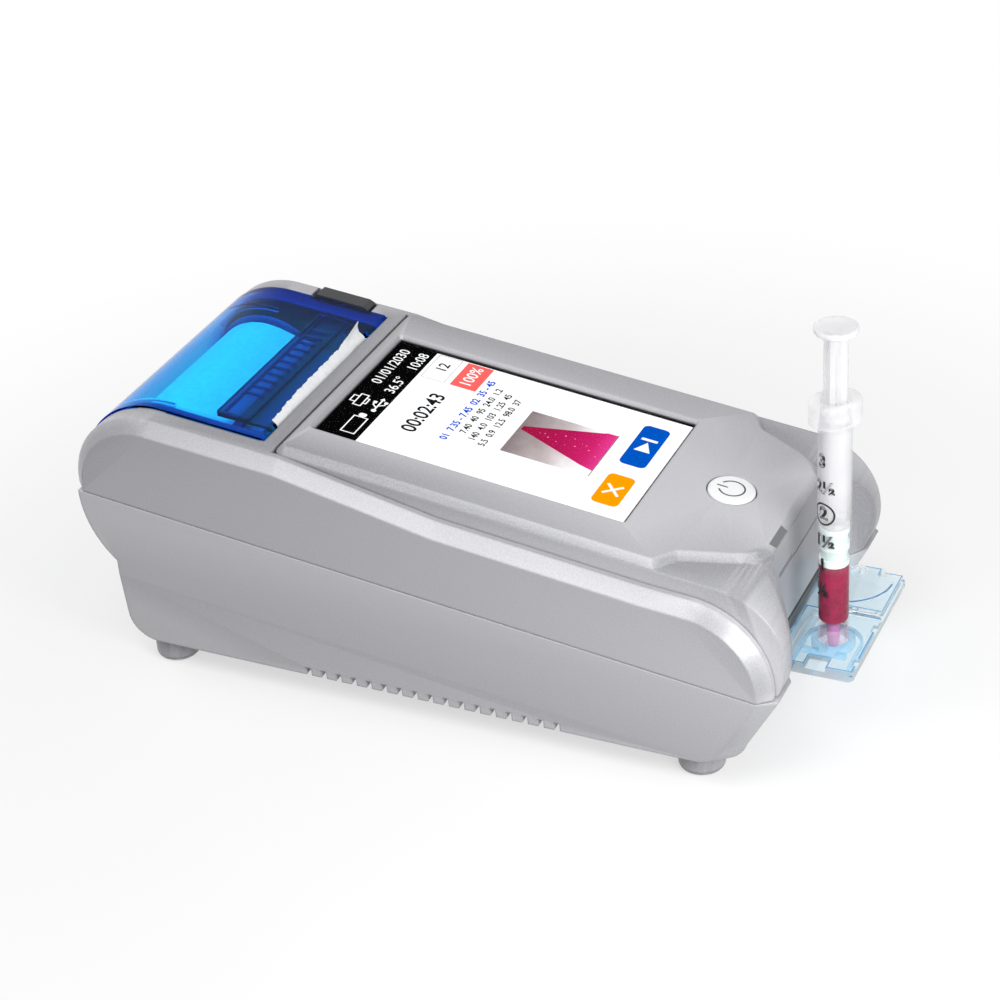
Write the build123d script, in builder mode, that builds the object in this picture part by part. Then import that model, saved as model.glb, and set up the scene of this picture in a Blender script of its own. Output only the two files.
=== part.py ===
from build123d import *
import math
import os

os.makedirs("parts", exist_ok=True)

# Millimetres. Origin on the table under the middle of the case, +Z up, the front faces -Y.
CASE_HALF = 50.0
BEVEL_X = 46.0
BEVEL_DROP = 3.7
WALL = 2.4
GAP = 0.15
REAR_Y, REAR_Z, REAR_R = 90.55, 61.4, 25.2
NOSE_Y, NOSE_Z, NOSE_R = -73.95, 33.7, 26.4
SEAM_Z, SEAM_SLOPE = 45.44, 0.1317
FLOOR_Z = 9.0

# Raised deck that carries the screen; it falls towards the front.
DECK_Y, DECK_Z, DECK_TILT = 43.75, 83.0, 7.816
DECK_HALF, DECK_REAR, DECK_CHAMFER = 43.9, 49.1, 2.2
BROW_Y, BROW_Z, BROW_R = -81.5, 41.9, 21.6
FACE_Y = -92.0
SCREEN_W, SCREEN_L = 58.0, 96.0
SCREEN_MID = -48.0
RECESS = 1.5
BUTTON_R, BUTTON_Y = 6.9, -117.4

# Printer.
ROLL_Y, ROLL_Z, ROLL_R = 91.0, 62.0, 19.0
PAPER_X0, PAPER_X1 = -31.0, 26.0
DOOR_HALF, DOOR_FRONT, DOOR_LIFT, DOOR_WALL = 39.8, 54.05, 0.5, 1.9
LIP_REAR, TEAR_EDGE = 53.9, 55.6
GUIDE_X0, GUIDE_X1, GUIDE_Y0, GUIDE_Y1 = -31.0, 33.0, 64.0, 74.3
HINGE_Y, HINGE_Z = 113.9, 63.7
LEVER_Y, LEVER_Z = 77.4, 82.8
PLATEN_Y, PLATEN_Z, PLATEN_R = 57.4, 75.4, 4.0
MODULE = 0.6
TEETH_PLATEN, TEETH_IDLER, TEETH_PINION = 14, 20, 10
PINION_Y, PINION_Z = 64.0, 58.5
GEAR_X, GEAR_FACE = 28.9, 2.4

# Sensor card and docked syringe.
CARD_X0, CARD_X1, CARD_Y0, CARD_Y1 = -24.5, 28.0, -115.75, -62.0
CARD_Z0, CARD_Z1, BLOCK_Z = 27.2, 29.2, 30.7
LID_X = 5.0
PORT_X, PORT_Y = -12.5, -106.55
BARREL_R, BARREL_BORE = 4.7, 4.25
BARREL_Z0, BARREL_Z1 = 38.5, 103.4
PISTON_Z0, PISTON_Z1 = 58.0, 70.0

FOOT_X, FOOT_R = 39.0, 6.8
FOOT_Y = (94.15, -76.75)
POSTS = ((42.0, 54.0), (36.5, -62.5))


def seam(y):
    return SEAM_Z + SEAM_SLOPE * y


def deck(y):
    return DECK_Z + math.tan(math.radians(DECK_TILT)) * (y - DECK_Y)


def polar(y, z, r, angle):
    a = math.radians(angle)
    return (y + r * math.cos(a), z + r * math.sin(a))


deck_normal = (0, -math.sin(math.radians(DECK_TILT)), math.cos(math.radians(DECK_TILT)))
deck_plane = Plane(origin=(0, DECK_Y, DECK_Z), x_dir=(1, 0, 0), z_dir=deck_normal)


def upper_side(inset, lift):
    """Side outline of the upper case in Y-Z, moved inwards, closed along the seam."""
    rear = REAR_R - inset
    nose = NOSE_R - inset
    crown = polar(REAR_Y, REAR_Z, rear, 97)
    brow = polar(NOSE_Y, NOSE_Z, nose, 95)
    back = (REAR_Y + rear, REAR_Z)
    tip = (NOSE_Y - nose, NOSE_Z)
    with BuildSketch() as side:
        with BuildLine():
            ThreePointArc(back, polar(REAR_Y, REAR_Z, rear, 48), crown)
            Line(crown, (46.7, 81.5 - inset))
            Line((46.7, 81.5 - inset), (-2.0, 70.1 - inset))
            Line((-2.0, 70.1 - inset), (-64.0, 61.3 - inset))
            Line((-64.0, 61.3 - inset), brow)
            ThreePointArc(brow, polar(NOSE_Y, NOSE_Z, nose, 138), tip)
            Polyline(tip, (tip[0], seam(tip[0]) + lift), (back[0], seam(back[0]) + lift), back)
        make_face()
    return side.sketch


def lower_side(shift):
    """Side outline of the lower case in Y-Z; the shift sets the front end back."""
    front = -101.9 + shift
    with BuildSketch() as side:
        with BuildLine():
            Line((113.8, seam(113.8) - GAP), (113.8, 58.6))
            ThreePointArc((113.8, 58.6), (110.9, 46.9), (104.0, 37.6))
            Line((104.0, 37.6), (103.8, 18.0))
            ThreePointArc((103.8, 18.0), (101.2, 11.6), (94.8, FLOOR_Z))
            Line((94.8, FLOOR_Z), (-84.0 + shift, FLOOR_Z))
            ThreePointArc((-84.0 + shift, FLOOR_Z), (-89.4 + shift, 10.8), (-92.6 + shift, 15.5))
            Line((-92.6 + shift, 15.5), (front, seam(front) - GAP))
            Line((front, seam(front) - GAP), (113.8, seam(113.8) - GAP))
        make_face()
    return side.sketch


def brow_side(inset, y_back, z_low):
    """Side outline of the nose block under the deck in Y-Z, moved inwards."""
    r = BROW_R - inset
    start = polar(BROW_Y, BROW_Z, r, 90 + DECK_TILT)
    low = (BROW_Y - math.sqrt(r * r - (BROW_Z - z_low) ** 2), z_low)
    with BuildSketch() as side:
        with BuildLine():
            ThreePointArc(start, polar(BROW_Y, BROW_Z, r, 145), low)
            Polyline(low, (y_back, z_low), (y_back, deck(y_back) - DECK_CHAMFER - inset), start)
        make_face()
    return side.sketch


def channel(grow):
    """Plan of the channel in the nose where the card comes out, grown outwards."""
    with BuildSketch() as plan:
        with BuildLine():
            Polyline((0, FACE_Y), (20.6, FACE_Y), (38.6, -104.0), (60, -118), (60, -130), (0, -130),
                     close=True)
        make_face()
        mirror(about=Plane.YZ)
        offset(amount=grow)
    return plan.sketch


def deck_plan(inset, drop=None):
    """Outline of the raised deck with its narrow tongue, flat on the table or on the tilted deck."""
    tilt = math.radians(DECK_TILT)

    def lay(y):
        if drop is None:
            return y
        return (y - DECK_Y - drop * math.sin(tilt)) / math.cos(tilt)

    with BuildSketch() as plan:
        with BuildLine():
            Polyline((0, lay(DECK_REAR)), (DECK_HALF, lay(DECK_REAR)), (DECK_HALF, lay(-65.8)),
                     (36.6, lay(-70.4)), (30.4, lay(-84.2)), (26.6, lay(-90.0)), (20.4, lay(FACE_Y)),
                     (0, lay(FACE_Y)), close=True)
        make_face()
        mirror(about=Plane.YZ)
        fillet(plan.vertices().filter_by(lambda v: abs(v.Y - lay(-90.0)) < 0.1), 5)
        fillet(plan.vertices().filter_by(lambda v: abs(v.Y - lay(DECK_REAR)) < 0.1 and abs(v.X) > 40), 3)
        offset(amount=-inset, kind=Kind.INTERSECTION)
    return plan.sketch


def tooth_rim(teeth, start):
    """Spur gear outline in Y-Z about the origin, with the first tooth at the start angle."""
    pitch = MODULE * teeth / 2
    with BuildSketch() as rim:
        Circle(pitch - 1.2 * MODULE)
        with PolarLocations(0, teeth, start_angle=start):
            with BuildLine():
                Polyline((pitch - 1.35 * MODULE, -0.98 * MODULE), (pitch, -0.70 * MODULE),
                         (pitch + 0.85 * MODULE, -0.36 * MODULE), (pitch + 0.85 * MODULE, 0.36 * MODULE),
                         (pitch, 0.70 * MODULE), (pitch - 1.35 * MODULE, 0.98 * MODULE), close=True)
            make_face()
    return rim.sketch


# The idler sits where both centre distances close, with a little backlash.
reach_a = MODULE * (TEETH_PLATEN + TEETH_IDLER) / 2 + 0.06
reach_b = MODULE * (TEETH_PINION + TEETH_IDLER) / 2 + 0.06
span = math.hypot(PINION_Y - PLATEN_Y, PINION_Z - PLATEN_Z)
line_angle = math.degrees(math.atan2(PINION_Z - PLATEN_Z, PINION_Y - PLATEN_Y))
lean = math.degrees(math.acos((reach_a ** 2 + span ** 2 - reach_b ** 2) / (2 * reach_a * span)))
IDLER_Y, IDLER_Z = polar(PLATEN_Y, PLATEN_Z, reach_a, line_angle + lean)
to_idler = line_angle + lean
to_pinion = math.degrees(math.atan2(PINION_Z - IDLER_Z, PINION_Y - IDLER_Y))
idler_start = to_idler + 180 + 180 / TEETH_IDLER
pinion_start = (to_pinion + 180 - (TEETH_IDLER / TEETH_PINION) * (idler_start - to_pinion)
                - 180 / TEETH_PINION)


# ---- Upper case: rear hump and the two side rails ----
with BuildPart() as upper_hollow:
    for x, inset in ((-47.6, 4.7), (-45.0, WALL), (45.0, WALL), (47.6, 4.7)):
        with BuildSketch(Plane.YZ.offset(x)):
            add(upper_side(inset, -6))
    loft(ruled=True)

with BuildPart() as upper_case:
    for x, inset in ((-CASE_HALF, BEVEL_DROP), (-BEVEL_X, 0), (BEVEL_X, 0), (CASE_HALF, BEVEL_DROP)):
        with BuildSketch(Plane.YZ.offset(x)):
            add(upper_side(inset, GAP))
    loft(ruled=True)
    add(upper_hollow.part, mode=Mode.SUBTRACT)
    with BuildSketch():
        with Locations((0, DECK_REAR + 0.3 - 80)):
            Rectangle(2 * DECK_HALF + 0.6, 160)
    extrude(amount=120, mode=Mode.SUBTRACT)
    # Rebate the printer door lies in, and the paper bay under it.
    with BuildSketch(Plane.YZ) as rebate:
        with BuildLine():
            ThreePointArc((REAR_Y + 30, 65.6), polar(REAR_Y, REAR_Z, 31, 48), polar(REAR_Y, REAR_Z, 31, 97))
            Line(polar(REAR_Y, REAR_Z, 31, 97), (DOOR_FRONT - 0.3, 89))
            Line((DOOR_FRONT - 0.3, 89), (DOOR_FRONT - 0.3, 80.6))
            Line((DOOR_FRONT - 0.3, 80.6), polar(REAR_Y, REAR_Z, REAR_R - 1.6, 97))
            ThreePointArc(polar(REAR_Y, REAR_Z, REAR_R - 1.6, 97), polar(REAR_Y, REAR_Z, REAR_R - 1.6, 54),
                          polar(REAR_Y, REAR_Z, REAR_R - 1.6, 10.3))
            Line(polar(REAR_Y, REAR_Z, REAR_R - 1.6, 10.3), (REAR_Y + 30, 65.6))
        make_face()
    extrude(amount=DOOR_HALF + 0.3, both=True, mode=Mode.SUBTRACT)
    with BuildSketch():
        with Locations((0, (LIP_REAR + 116.7) / 2)):
            Rectangle(71, 116.7 - LIP_REAR)
    extrude(amount=120, mode=Mode.SUBTRACT)
    with BuildSketch(Plane.YZ.offset(-36)):
        with Locations((113, 67.7)):
            Rectangle(12, 14.2)
    extrude(amount=72, mode=Mode.SUBTRACT)
    # The rear wall steps down beside the lugs, where the edge of the door swings.
    with BuildSketch(Plane.YZ):
        with Locations((115, 65.2)):
            Rectangle(6, 1.8)
    extrude(amount=DOOR_HALF + 0.3, both=True, mode=Mode.SUBTRACT)
    # Hinge lugs at the rear.
    for x in (-39.9, 36.4):
        with BuildSketch(Plane.YZ.offset(x)):
            with Locations((HINGE_Y, HINGE_Z)):
                Circle(1.75)
            with Locations((HINGE_Y - 0.75, HINGE_Z - 1.4)):
                Rectangle(2.0, 2.8)
        extrude(amount=3.5)
    with BuildSketch(Plane.YZ):
        with Locations((HINGE_Y, HINGE_Z)):
            Circle(0.8)
    extrude(amount=42, both=True, mode=Mode.SUBTRACT)
    # Pocket for the release lever in the strip beside the door.
    with BuildSketch(Plane.YZ.offset(40.1)):
        with BuildLine():
            Polyline((59.9, 90), (59.9, 78.9), (80.7, 81.0), (80.7, 90), close=True)
        make_face()
    extrude(amount=6.2, mode=Mode.SUBTRACT)
    with Locations((46, LEVER_Y, LEVER_Z)):
        Cylinder(0.6, 3, rotation=(0, 90, 0), mode=Mode.SUBTRACT)
    # Screw posts that meet the posts of the lower case.
    with BuildSketch(Plane.XY.offset(seam(54) + 1.2)):
        with Locations((-42, 54), (42, 54)):
            Circle(3.4)
    extrude(amount=80.3 - seam(54) - 1.2)
    with BuildSketch(Plane.XY.offset(30)):
        with Locations((-42, 54), (42, 54)):
            Circle(1.3)
    extrude(amount=44, mode=Mode.SUBTRACT)
upper_case.part.label = "upper_case"
export_step(upper_case.part, "parts/upper_case.step")

# ---- Front cover: screen deck, tongue and nose block ----
with BuildPart() as cover_hollow:
    with BuildSketch(Plane.YZ):
        add(brow_side(WALL, -58, 31))
    extrude(amount=DECK_HALF - WALL, both=True)
    with BuildSketch():
        add(channel(5.4))
    extrude(amount=100, mode=Mode.SUBTRACT)
    with BuildSketch(Plane.XY.offset(20)):
        add(deck_plan(WALL))
    extrude(amount=80)
    split(bisect_by=deck_plane.offset(-WALL), keep=Keep.BOTTOM)

with BuildPart() as deck_block:
    with BuildSketch(Plane.XY.offset(32.2)):
        add(deck_plan(0))
    extrude(amount=70)
    split(bisect_by=deck_plane.offset(-DECK_CHAMFER), keep=Keep.BOTTOM)
    with BuildSketch(deck_plane.offset(-DECK_CHAMFER - 0.15)):
        add(deck_plan(0.04, DECK_CHAMFER + 0.15))
    with BuildSketch(deck_plane):
        add(deck_plan(DECK_CHAMFER, 0))
    loft(ruled=True)

with BuildPart() as front_cover:
    with BuildSketch(Plane.YZ):
        add(brow_side(0, -60, 32.2))
    extrude(amount=DECK_HALF, both=True)
    with BuildSketch():
        add(channel(0))
    extrude(amount=100, mode=Mode.SUBTRACT)
    shoulder = front_cover.edges().filter_by(lambda e: e.center().Y < -92.3 and e.center().Z > 36)
    shoulder = shoulder.filter_by(lambda e: 22 < abs(e.center().X) < 40)
    fillet(shoulder, 6.5)
    add(deck_block.part)
    add(cover_hollow.part, mode=Mode.SUBTRACT)
    with BuildSketch(Plane.YZ):
        with BuildLine():
            Polyline((-60, 20), (60, 20), (60, deck(60) - 12), (-60, deck(-60) - 12),
                     (-60, seam(-60) + GAP), (-110, seam(-110) + GAP), (-110, 20), close=True)
        make_face()
    extrude(amount=60, both=True, mode=Mode.SUBTRACT)
    # Screen window with a sloped edge, and a pocket below for the touch glass.
    with BuildSketch(deck_plane):
        with Locations((0, SCREEN_MID)):
            RectangleRounded(SCREEN_W + 1.6, SCREEN_L + 1.6, 1.2)
    with BuildSketch(deck_plane.offset(-RECESS)):
        with Locations((0, SCREEN_MID)):
            RectangleRounded(SCREEN_W, SCREEN_L, 0.6)
    loft(mode=Mode.SUBTRACT)
    with BuildSketch(deck_plane.offset(-RECESS)):
        with Locations((0, SCREEN_MID)):
            Rectangle(63.4, 100.6)
    extrude(amount=-2, mode=Mode.SUBTRACT)
    with BuildSketch(deck_plane):
        with Locations((0, BUTTON_Y)):
            Circle(BUTTON_R + 0.35)
    extrude(amount=-5, mode=Mode.SUBTRACT)
    # Posts for the main board and the button board.
    with BuildSketch(deck_plane.offset(-2)):
        with Locations((-37.6, -4), (37.6, -4), (-37.6, -96), (37.6, -96)):
            Circle(2.6)
        with Locations((-11, BUTTON_Y), (11, BUTTON_Y)):
            Circle(2.0)
    extrude(amount=-8.4)
    with BuildSketch(deck_plane.offset(-12)):
        with Locations((-37.6, -4), (37.6, -4), (-37.6, -96), (37.6, -96)):
            Circle(1.15)
        with Locations((-11, BUTTON_Y), (11, BUTTON_Y)):
            Circle(0.85)
    extrude(amount=7, mode=Mode.SUBTRACT)
    with BuildSketch(Plane.XY.offset(seam(-62.5) + 1.2)):
        with Locations((-36.5, -62.5), (36.5, -62.5)):
            Circle(3.2)
            Circle(1.3, mode=Mode.SUBTRACT)
    extrude(amount=28)
    # Fine groove across the front face.
    with BuildSketch(Plane.XZ.offset(-FACE_Y)):
        with Locations((4, 51.7)):
            Rectangle(38, 0.5)
    extrude(amount=-0.6, mode=Mode.SUBTRACT)
front_cover.part.label = "front_cover"
export_step(front_cover.part, "parts/front_cover.step")

# ---- Lower case ----
with BuildPart() as lower_hollow:
    with BuildSketch(Plane.YZ):
        with BuildLine():
            Polyline((111.3, 70), (111.3, 59), (108.7, 48.2), (101.4, 38.6), (101.4, 18), (95, 11.6),
                     (-78, 11.6), (-83.5, 13.2), (-87, 18), (-95, 32), (-95, 60), close=True)
        make_face()
    extrude(amount=45.5, both=True)
    with BuildSketch():
        add(channel(WALL))
    extrude(amount=100, mode=Mode.SUBTRACT)

with BuildPart() as lower_case:
    for x, shift in ((-CASE_HALF, 5.2), (-BEVEL_X, 0), (BEVEL_X, 0), (CASE_HALF, 5.2)):
        with BuildSketch(Plane.YZ.offset(x)):
            add(lower_side(shift))
    loft(ruled=True)
    # Below the crease the sides lean inwards.
    for side in (-1, 1):
        crease = Plane(origin=(side * 50, 90.75, 31.0), x_dir=(0, 164.35, 20.3),
                       z_dir=Vector(0, 164.35, 20.3).cross(Vector(-side * 2, 0, -21.8)) * -side)
        split(bisect_by=crease, keep=Keep.BOTTOM)
    with BuildSketch():
        add(channel(0))
    extrude(amount=100, mode=Mode.SUBTRACT)
    add(lower_hollow.part, mode=Mode.SUBTRACT)
    # Row of vents along both lower edges.
    with Locations((-47.5, 3, 9.9), (47.5, 3, 9.9)):
        with GridLocations(0, 5.0, 1, 17):
            Box(10, 1.8, 3.6, mode=Mode.SUBTRACT)
    # Card slot in the nose, socket panel at the rear, battery hatch in the floor.
    with Locations((0, -92, 31)):
        Box(58, 16, 8.4, mode=Mode.SUBTRACT)
    with Locations((0, 103, 25)):
        Box(56, 12, 17, mode=Mode.SUBTRACT)
    with Locations((0, 29, 10)):
        Box(50, 70, 8, mode=Mode.SUBTRACT)
    # Ledges that keep the hatch and the battery.
    with Locations((-26.5, 29, 12.3), (26.5, 29, 12.3)):
        Box(6, 74, 1.4)
    # Screw posts.
    for x, y in POSTS:
        with BuildSketch(Plane.XY.offset(10)):
            with Locations((-x, y), (x, y)):
                Circle(3.4)
        extrude(amount=seam(y) - 10.4)
    for x, y in POSTS:
        with BuildSketch():
            with Locations((-x, y), (x, y)):
                Circle(1.75)
        extrude(amount=70, mode=Mode.SUBTRACT)
        with BuildSketch():
            with Locations((-x, y), (x, y)):
                Circle(2.9)
        extrude(amount=12.6, mode=Mode.SUBTRACT)
    with BuildSketch():
        for y in FOOT_Y:
            with Locations((-FOOT_X, y), (FOOT_X, y)):
                Circle(2.6)
    extrude(amount=14, mode=Mode.SUBTRACT)
lower_case.part.label = "lower_case"
export_step(lower_case.part, "parts/lower_case.step")

# ---- Battery hatch, feet, rear sockets ----
with BuildPart() as battery_hatch:
    with Locations((0, 29, 10.1)):
        Box(49.4, 69.4, 2.2)
    fillet(battery_hatch.edges().filter_by(Axis.Z), 0.3)
    with BuildSketch(Plane.XY.offset(FLOOR_Z)):
        with Locations((0, 8)):
            with GridLocations(0, 2.4, 1, 5):
                SlotOverall(18, 1.2)
    extrude(amount=0.6, mode=Mode.SUBTRACT)
battery_hatch.part.label = "battery_hatch"
export_step(battery_hatch.part, "parts/battery_hatch.step")

with BuildPart() as battery_pack:
    for x in (-10.2, 10.2):
        with BuildSketch(Plane.XZ.offset(5)):
            with Locations((x, 23.2)):
                Circle(9.6)
        extrude(amount=-66)
    with Locations((0, 29 - 1, 23.2)):
        Box(20.4, 66, 17.4)
    fillet(battery_pack.edges().filter_by(GeomType.CIRCLE), 0.8)
    with Locations((0, 58.2, 30)):
        Box(12, 5.6, 4, mode=Mode.SUBTRACT)
battery_pack.part.label = "battery_pack"
export_step(battery_pack.part, "parts/battery_pack.step")

with BuildPart() as battery_plug:
    with Locations((0, 60.2, 30.2)):
        Box(10.8, 7.6, 3.2)
    with Locations((0, 64.2, 30.2)):
        with GridLocations(2.4, 0, 4, 1):
            Cylinder(0.6, 4, rotation=(90, 0, 0))
battery_plug.part.label = "battery_plug"
export_step(battery_plug.part, "parts/battery_plug.step")

with BuildPart() as feet:
    for y in FOOT_Y:
        with Locations((-FOOT_X, y, FLOOR_Z / 2), (FOOT_X, y, FLOOR_Z / 2)):
            Cylinder(FOOT_R, FLOOR_Z)
    fillet(feet.edges().group_by(Axis.Z)[0], 2.1)
    for y in FOOT_Y:
        with Locations((-FOOT_X, y, FLOOR_Z + 1.6), (FOOT_X, y, FLOOR_Z + 1.6)):
            Cylinder(2.5, 3.2)
feet.part.label = "feet"
export_step(feet.part, "parts/feet.step")

with BuildPart() as io_panel:
    with Locations((0, 102.2, 25)):
        Box(55.6, 2.2, 16.6)
    with Locations((0, 100.4, 27)):
        Box(60, 1.6, 16.6)
    with Locations((-18, 101, 24)):
        Cylinder(3.9, 8, rotation=(90, 0, 0), mode=Mode.SUBTRACT)
    with Locations((0, 101, 24), (18, 101, 24)):
        Box(13.9, 8, 6.1, mode=Mode.SUBTRACT)
io_panel.part.label = "io_panel"
export_step(io_panel.part, "parts/io_panel.step")

with BuildPart() as dc_jack:
    with Locations((-18, 94.3, 22.6)):
        Box(10, 10, 12)
    with Locations((-18, 100.8, 24)):
        Cylinder(3.7, 3.4, rotation=(90, 0, 0))
    with Locations((-18, 97.8, 24)):
        Cylinder(2.85, 9.6, rotation=(90, 0, 0), mode=Mode.SUBTRACT)
    with Locations((-18, 96.4, 24)):
        Cylinder(0.95, 7.6, rotation=(90, 0, 0))
dc_jack.part.label = "dc_jack"
export_step(dc_jack.part, "parts/dc_jack.step")

with BuildPart() as usb_shells:
    with Locations((0, 96.4, 24), (18, 96.4, 24)):
        Box(13.2, 13, 5.6)
        Box(12.4, 13.2, 4.8, mode=Mode.SUBTRACT)
    with Locations((0, 90.2, 24), (18, 90.2, 24)):
        Box(13.2, 0.6, 5.6)
usb_shells.part.label = "usb_shells"
export_step(usb_shells.part, "parts/usb_shells.step")

with BuildPart() as usb_tongues:
    with Locations((0, 95.7, 25), (18, 95.7, 25)):
        Box(11, 10.2, 1.8)
usb_tongues.part.label = "usb_tongues"
export_step(usb_tongues.part, "parts/usb_tongues.step")

with BuildPart() as io_board:
    with Locations((0, 80, 15.6)):
        Box(66, 34, 1.6)
    with Locations((0, 68, 16.5)):
        Box(14, 5, 0.4)
io_board.part.label = "io_board"
export_step(io_board.part, "parts/io_board.step")

# ---- Screen, touch glass, boards, power button ----
with BuildPart() as touch_glass:
    with BuildSketch(deck_plane.offset(-RECESS)):
        with Locations((0, SCREEN_MID)):
            RectangleRounded(63, 100.2, 0.8)
    extrude(amount=-1.1)
touch_glass.part.label = "touch_glass"
export_step(touch_glass.part, "parts/touch_glass.step")

with BuildPart() as lcd_screen:
    with BuildSketch(deck_plane.offset(-2.72)):
        with Locations((0, SCREEN_MID)):
            Rectangle(SCREEN_W + 0.4, SCREEN_L + 0.4)
    extrude(amount=-0.3)
lcd_screen.part.label = "lcd_screen"
export_step(lcd_screen.part, "parts/lcd_screen.step")

with BuildPart() as lcd_frame:
    with BuildSketch(deck_plane.offset(-2.7)):
        with Locations((0, SCREEN_MID - 1.8)):
            RectangleRounded(66, 102.4, 1.5)
    extrude(amount=-3.6)
    with BuildSketch(deck_plane.offset(-2.6)):
        with Locations((0, SCREEN_MID)):
            Rectangle(SCREEN_W + 0.6, SCREEN_L + 0.6)
    extrude(amount=-0.44, mode=Mode.SUBTRACT)
    with BuildSketch(deck_plane.offset(-6.3)):
        with Locations((0, SCREEN_MID)):
            Rectangle(54, 84)
    extrude(amount=0.8, mode=Mode.SUBTRACT)
lcd_frame.part.label = "lcd_frame"
export_step(lcd_frame.part, "parts/lcd_frame.step")

with BuildPart() as main_board:
    with BuildSketch(deck_plane.offset(-10.4)):
        with Locations((0, -50)):
            RectangleRounded(81, 100, 2)
        with Locations((-37.6, -4), (37.6, -4), (-37.6, -96), (37.6, -96)):
            Circle(1.3, mode=Mode.SUBTRACT)
    extrude(amount=-1.6)
main_board.part.label = "main_board"
export_step(main_board.part, "parts/main_board.step")

with BuildPart() as board_chips:
    with BuildSketch(deck_plane.offset(-12)):
        with Locations((-12, -40)):
            Rectangle(17, 17)
        with Locations((12, -34), (12, -48)):
            Rectangle(10, 12)
        with Locations((-24, -70), (-10, -70), (22, -70)):
            Rectangle(9, 6)
    extrude(amount=-1.4)
board_chips.part.label = "board_chips"
export_step(board_chips.part, "parts/board_chips.step")

with BuildPart() as board_sockets:
    with BuildSketch(deck_plane.offset(-12)):
        with Locations((-20, -6), (8, -6)):
            Rectangle(18, 5)
        with Locations((0, -94)):
            Rectangle(26, 5)
    extrude(amount=-4.2)
    with BuildSketch(deck_plane.offset(-16.2)):
        with Locations((-20, -6), (8, -6)):
            Rectangle(15.6, 2.2)
        with Locations((0, -94)):
            Rectangle(23.6, 2.2)
    extrude(amount=3, mode=Mode.SUBTRACT)
board_sockets.part.label = "board_sockets"
export_step(board_sockets.part, "parts/board_sockets.step")

with BuildPart() as shield_can:
    with BuildSketch(deck_plane.offset(-12)):
        with Locations((22, -18)):
            Rectangle(22, 14)
    extrude(amount=-3)
    fillet(shield_can.edges().filter_by(Axis.X, reverse=True).sort_by(Axis.Z)[:2], 0.4)
shield_can.part.label = "shield_can"
export_step(shield_can.part, "parts/shield_can.step")

with BuildPart() as board_screws:
    with BuildSketch(deck_plane.offset(-12)):
        with Locations((-37.6, -4), (37.6, -4), (-37.6, -96), (37.6, -96)):
            Circle(2.1)
    extrude(amount=-1.5)
    with BuildSketch(deck_plane.offset(-12.5)):
        with Locations((-37.6, -4), (37.6, -4), (-37.6, -96), (37.6, -96)):
            Circle(1.1)
    extrude(amount=6.5)
    with BuildSketch(deck_plane.offset(-13.6)):
        with Locations((-37.6, -4), (37.6, -4), (-37.6, -96), (37.6, -96)):
            Rectangle(2.8, 0.6)
            Rectangle(0.6, 2.8)
    extrude(amount=0.6, mode=Mode.SUBTRACT)
    with BuildSketch(deck_plane.offset(-12)):
        with Locations((-11, BUTTON_Y), (11, BUTTON_Y)):
            Circle(1.7)
    extrude(amount=-1.2)
    with BuildSketch(deck_plane.offset(-12)):
        with Locations((-11, BUTTON_Y), (11, BUTTON_Y)):
            Circle(0.8)
    extrude(amount=4.5)
board_screws.part.label = "board_screws"
export_step(board_screws.part, "parts/board_screws.step")

with BuildPart() as power_button:
    with BuildSketch(deck_plane.offset(-3.4)):
        with Locations((0, BUTTON_Y)):
            Circle(BUTTON_R)
    extrude(amount=4.0)
    fillet(power_button.edges().sort_by(Axis.Z)[-1], 0.9)
    with BuildSketch(deck_plane.offset(-2.75)):
        with Locations((0, BUTTON_Y)):
            Circle(BUTTON_R + 1.3)
    extrude(amount=-1.0)
    with BuildSketch(deck_plane.offset(-3.7)):
        with Locations((0, BUTTON_Y)):
            Circle(1.5)
    extrude(amount=-1.6)
power_button.part.label = "power_button"
export_step(power_button.part, "parts/power_button.step")

with BuildPart() as button_switch:
    with BuildSketch(deck_plane.offset(-10.4)):
        with Locations((0, BUTTON_Y)):
            Rectangle(6, 6)
    extrude(amount=3)
    with BuildSketch(deck_plane.offset(-7.4)):
        with Locations((0, BUTTON_Y)):
            Circle(1.7)
    extrude(amount=0.6)
button_switch.part.label = "button_switch"
export_step(button_switch.part, "parts/button_switch.step")

with BuildPart() as button_board:
    with BuildSketch(deck_plane.offset(-10.4)):
        with Locations((0, BUTTON_Y)):
            RectangleRounded(27, 13, 1.5)
        with Locations((-11, BUTTON_Y), (11, BUTTON_Y)):
            Circle(0.95, mode=Mode.SUBTRACT)
    extrude(amount=-1.6)
button_board.part.label = "button_board"
export_step(button_board.part, "parts/button_board.step")

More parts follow.
